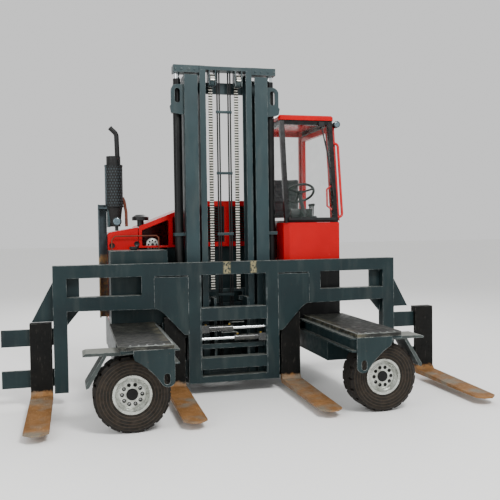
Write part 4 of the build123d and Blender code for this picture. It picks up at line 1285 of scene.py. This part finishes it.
@dataclass
class EngineSide(Assembly):
    """What shows round the engine: alternator, guard rail, cap, lenses, silencer's fittings."""

    fittings: tuple[Fitting, ...] = (
        Fitting("alternator", Cover.CASTING, (
            (Piece.dish, (-692, 560, 1416), FORWARD, (
                (0, 0), (58, 0), (64, 8), (64, 44), (52, 54), (24, 56), (24, 62), (0, 62)
            )),
            (Piece.block, (-706, 520, 1331), (-678, 556, 1376)),
        )),
        Fitting("tank_guard_rail", Cover.RUSTY_RAIL, ((
            Piece.pipe, (
                (-1100, 412, 1371), (-1098, 412, 1471), (-1066, 412, 1505),
                (-660, 412, 1505), (-640, 412, 1483), (-640, 412, 1371),
            ), 6.5,
        ),)),
        Fitting("tank_filler_cap", Cover.PLASTIC, ((
            Piece.dish, (-900, 250, 1370), UPWARD,
            ((0, 34), (38, 34), (44, 28), (44, 10), (34, 8), (34, 0.3), (0, 0.3)),
        ),)),
        Fitting("headlight_lens", Cover.LENS, ((
            Piece.dish, (-1044, 450, 1650), FORWARD,
            ((0, 5), (20, 4.5), (32, 2.5), (36, 0.2), (0, 0.2)),
        ),)),
        Fitting("work_lamp_lens", Cover.LENS, ((
            Piece.dish, (1172, 170, 2615), FORWARD,
            ((0, 4), (16, 3.5), (26, 1.5), (28, 0.2), (0, 0.2)),
        ),)),
        Fitting("bodywork_latches", Cover.PLASTIC, tuple(
            (Piece.dish, centre, FORWARD, ((0, 2), (20, 2), (24, 5), (28, 0.2), (0, 0.2)))
            for centre in ((-852, 455, 1425), (-1094, 455, 1412))
        )),
        Fitting("stack_post_flange", Cover.POST, (
            (Piece.block, (-1133.5, 512, 1595), (-1104, 522, 1815)),
            (Piece.block, (-1133.5, 512, 1595), (-1126, 556, 1815)),
        ), bevel=1),
    )
    fan: Point = (-692, 560, 1416)
    vents: int = 8
    vent_circle: float = 40.0
    clamps_z: tuple[float, ...] = (1798, 2204)
    clamp_outline: Profile = ((88.2, -7), (91, -7), (91, 7), (88.2, 7), (88.2, -7))
    outlet_z: tuple[float, float] = (1600, 1789)
    # the rusty pipe's points: out from the silencer's axis, and height
    down_pipe: Profile = ((84, 1890), (100, 1850), (116, 1740), (118, 1600))

    def build_rest(self) -> None:
        """Build the alternator's vents, and what stands about the silencer's axis."""
        x, y, z = self.fan
        vents = Piece("alternator_vents")
        for index in range(self.vents):
            angle = index * 2 * math.pi / self.vents
            across, up = self.vent_circle * math.cos(angle), self.vent_circle * math.sin(angle)
            vents.bar((x + across, y - 60, z + up), (x + across, y - 50, z + up), 9, 12)
        vents.bar((x, y - 68, z), (x, y - 60, z), 14, 16)
        vents.finish(self.materials, Cover.VENT)
        x, y, _ = SILENCER_AXIS
        bands = Piece("silencer_clamps")
        for z in self.clamps_z:
            bands.dish((x, y, z), UPWARD, self.clamp_outline, 40)
        bands.finish(self.materials, Cover.CLAMP)
        outlet = Piece("silencer_outlet").bar(*[(x, y, z) for z in self.outlet_z], 58, 28, 80)
        outlet.finish(self.materials, Cover.SOOT)
        down = Piece("exhaust_down_pipe")
        down.pipe(tuple((x + out, y, z) for out, z in self.down_pipe), 15)
        down.finish(self.materials, Cover.RUSTY_PIPE)


@dataclass
class HoodTrim(Assembly):
    """Tail lamps and a lifting handle on the back of the hinged hood."""

    fittings: tuple[Fitting, ...] = (
        Fitting("tail_lamp_rims", Cover.PLASTIC, (
            (Piece.block, (-818, 1285, 1454), (-722, 1291, 1506)),
            (Piece.block, (432, 1285, 1454), (528, 1291, 1506)),
        ), Body.HOOD, 2),
        Fitting("tail_lamp_lenses", Cover.RED_NYLON, (
            (Piece.block, (-812, 1290, 1460), (-728, 1296, 1500)),
            (Piece.block, (438, 1290, 1460), (522, 1296, 1500)),
        ), Body.HOOD, 2),
        Fitting("hood_handle", Cover.PLASTIC, ((
            Piece.pipe,
            ((-235, 1285, 1450), (-235, 1292, 1450), (-55, 1292, 1450), (-55, 1285, 1450)), 7,
        ),), Body.HOOD),
    )


@dataclass
class DeckTrim:
    """Bright nosing angles, tabs and edge strips on the two load decks."""

    materials: Materials
    # inner and outer ends of a nosing and of an edge strip, out from the middle
    nosing_x: tuple[float, float] = (743.0, 1084.0)
    strip_x: tuple[float, float] = (741.0, 755.0)
    front_y: float = -1300.0
    strip_end_y: float = -140.0
    top_z: float = 697.0
    # how far a strip's two faces stand over the deck
    lift_mm: tuple[float, float] = (0.2, 2.5)
    tabs: int = 6

    def build(self) -> None:
        """Build both decks' strips."""
        y = self.front_y
        under, over = (self.top_z + lift for lift in self.lift_mm)
        for name, sign in (("left", -1), ("right", 1)):
            low, high = sorted(sign * x for x in self.nosing_x)
            tabs = Piece(f"{name}_deck_nosing").block((low, y, under), (high, y + 16, over))
            for index in range(self.tabs):
                x = low + 14 + index * (high - low - 28) / (self.tabs - 1)
                tabs.block((x - 7, y + 2, self.top_z + 2), (x + 7, y + 24, self.top_z + 9))
            tabs.finish(self.materials, Cover.NOSING, bevel=1)
            low, high = sorted(sign * x for x in self.strip_x)
            strip = Piece(f"{name}_deck_edge_strip")
            strip.block((low, y + 34, under), (high, self.strip_end_y, over))
            strip.finish(self.materials, Cover.NOSING, bevel=1)


@dataclass
class FrameTrim:
    """Weld seams, pipes and fittings on the fork frame."""

    materials: Materials
    front_y: float = -116.0
    # distance from the middle, bottom and top
    seams: tuple[Point, ...] = ((324, 180, 1130), (752, 850, 1120), (436, 590, 1120))
    # side and height of each fork positioner
    rams: tuple[tuple[int, float], ...] = ((-1, 620), (1, 525))
    ram_y: float = -66.0
    pipe_y: float = -44.0
    ports_x: tuple[float, ...] = (40, 270)

    def build(self) -> None:
        """Build every piece."""
        seams = Piece("frame_seams")
        for sign in (-1, 1):
            for x, low, high in self.seams:
                ends = [(sign * x, self.front_y, z) for z in (low, high)]
                seams.bar(*ends, 2.5, 8)
        seams.finish(self.materials, Cover.SLATE, Body.CARRIAGE, smooth=80)
        pipes, nuts = Piece("positioner_pipes"), Piece("positioner_fittings")
        y, run_y = self.ram_y, self.pipe_y
        for sign, z in self.rams:
            rise = ((sign * 40, y, z + 32), (sign * 40, y, z + 46))
            pipes.pipe((*rise, (sign * 20, run_y, z + 52), (sign * -110, run_y, z + 52)), 6)
            for x in self.ports_x:
                nuts.bar((sign * x, y, z + 30), (sign * x, y, z + 44), 11, 6)
        pipes.finish(self.materials, Cover.STEEL, Body.CARRIAGE)
        nuts.finish(self.materials, Cover.ZINC, Body.CARRIAGE)


@dataclass
class MastPipes:
    """Steel pipes that climb between the inner columns, their clips, and the crown's bolts."""

    materials: Materials
    places_x: tuple[float, ...] = (-66, -44, 44, 66)
    y: float = 222.0
    ends_z: tuple[float, float] = (190, 3096)
    # corners of the lowest clip, and of the others from their own height
    foot: Box = ((-84, 212, 196), (84, 258, 236))
    clip: Box = ((-80, 210, 0), (80, 234, 26))
    clips_z: tuple[float, ...] = (900, 1500, 2100, 2700)
    bolts_x: tuple[float, ...] = (300, 360, 430, 490)
    # the crown's front face, a bolt head's face, and height
    bolts_yz: Point = (122, 117, 3100)

    def build(self) -> None:
        """Build the pipes, their clips and the bolts."""
        pipes = Piece("mast_pipes")
        for x in self.places_x:
            pipes.bar(*[(x, self.y, z) for z in self.ends_z], 8, 12)
        pipes.finish(self.materials, Cover.HOSE, Body.LIFTING_MAST)
        clips = Piece("mast_pipe_clips").block(*self.foot)
        for z in self.clips_z:
            clips.block(*[(x, y, z + up) for x, y, up in self.clip])
        clips.finish(self.materials, Cover.MAST, Body.LIFTING_MAST, bevel=2)
        bolts = Piece("crown_bolts")
        face, head, z = self.bolts_yz
        for sign in (-1, 1):
            for x in self.bolts_x:
                bolts.bar((sign * x, face, z), (sign * x, head, z), 11, 6)
        bolts.finish(self.materials, Cover.MAST, Body.LIFTING_MAST)


@dataclass(frozen=True)
class Softbox:
    """A square studio light."""

    name: str
    # place and target in metres, side in metres, power in watts
    place: Point
    target: Point
    size: float
    power: float

    def build(self) -> None:
        """Hang the light."""
        light = bpy.data.lights.new(self.name, "AREA")
        light.size = self.size
        light.energy = self.power
        lamp = bpy.data.objects.new(self.name, light)
        lamp.location = self.place
        aim = Vector(self.target) - Vector(self.place)
        lamp.rotation_euler = aim.to_track_quat("-Z", "Y").to_euler()
        bpy.context.scene.collection.objects.link(lamp)


@dataclass
class Studio:
    """Floor, light, and the camera at the photograph's angle."""

    # focal length and sensor width in millimetres, far end of the view in metres
    lens: float = 49.086
    sensor: float = 36.0
    reach: float = 200.0
    # in metres, and the roll in degrees
    location: Point = (-1.45968, -6.38692, 1.562)
    forward: Point = (0.25008584, 0.96771412, -0.03140798)
    roll: float = 0.78515
    # strength of the even white light, and half the floor's width in metres
    sky: float = 0.9
    floor: float = 60.0
    lights: tuple[Softbox, ...] = (
        Softbox("key", (1.4, -6.5, 7.6), (0, 0, 0.9), 2.4, 760),
        Softbox("fill", (-6.0, -5.0, 3.5), (0, 0, 1.0), 4.0, 180),
        Softbox("back", (1.0, 6.5, 6.0), (0, 0, 1.2), 4.0, 320),
    )

    def build(self) -> None:
        """Set the stage."""
        self.build_floor()
        world = bpy.data.worlds.new("studio_sky")
        bpy.context.scene.world = world
        world.use_nodes = True
        background = world.node_tree.nodes["Background"]
        background.inputs["Color"].default_value = (1.0, 1.0, 1.0, 1.0)
        background.inputs["Strength"].default_value = self.sky
        for light in self.lights:
            light.build()
        self.build_camera()

    def build_floor(self) -> None:
        """Lay a wide pale floor."""
        mesh = bmesh.new()
        bmesh.ops.create_grid(mesh, x_segments=1, y_segments=1, size=self.floor)
        data = bpy.data.meshes.new("floor")
        mesh.to_mesh(data)
        mesh.free()
        floor = bpy.data.objects.new("floor", data)
        bpy.context.scene.collection.objects.link(floor)
        paint = Shader("floor_paint", Base_Color=linear("f6f6f4"), Roughness=0.7)
        data.materials.append(paint.material)

    def build_camera(self) -> None:
        """Aim the camera along the solved direction, with its roll."""
        data = bpy.data.cameras.new("camera")
        data.lens = self.lens
        data.sensor_width = self.sensor
        data.clip_end = self.reach
        camera = bpy.data.objects.new("camera", data)
        forward = Vector(self.forward).normalized()
        level = forward.cross(Vector((0, 0, 1))).normalized()
        roll = math.radians(self.roll)
        right = level * math.cos(roll) - level.cross(forward) * math.sin(roll)
        turn = Matrix((right, right.cross(forward), -forward)).transposed().to_4x4()
        camera.matrix_world = Matrix.Translation(self.location) @ turn
        bpy.context.scene.collection.objects.link(camera)
        bpy.context.scene.camera = camera


def main() -> None:
    """Load the frame, dress it, add the small pieces and set the stage."""
    logging.basicConfig(level=logging.INFO)
    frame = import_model()
    materials = Materials()
    materials.dress(frame["nodes"])
    for kind in (DriverSeat, CabTrim, EngineSide, HoodTrim, DeckTrim, FrameTrim, MastPipes):
        kind(materials).build()
        log.info("%s is built", kind.__name__)
    Studio().build()


if __name__ == "__main__":
    main()
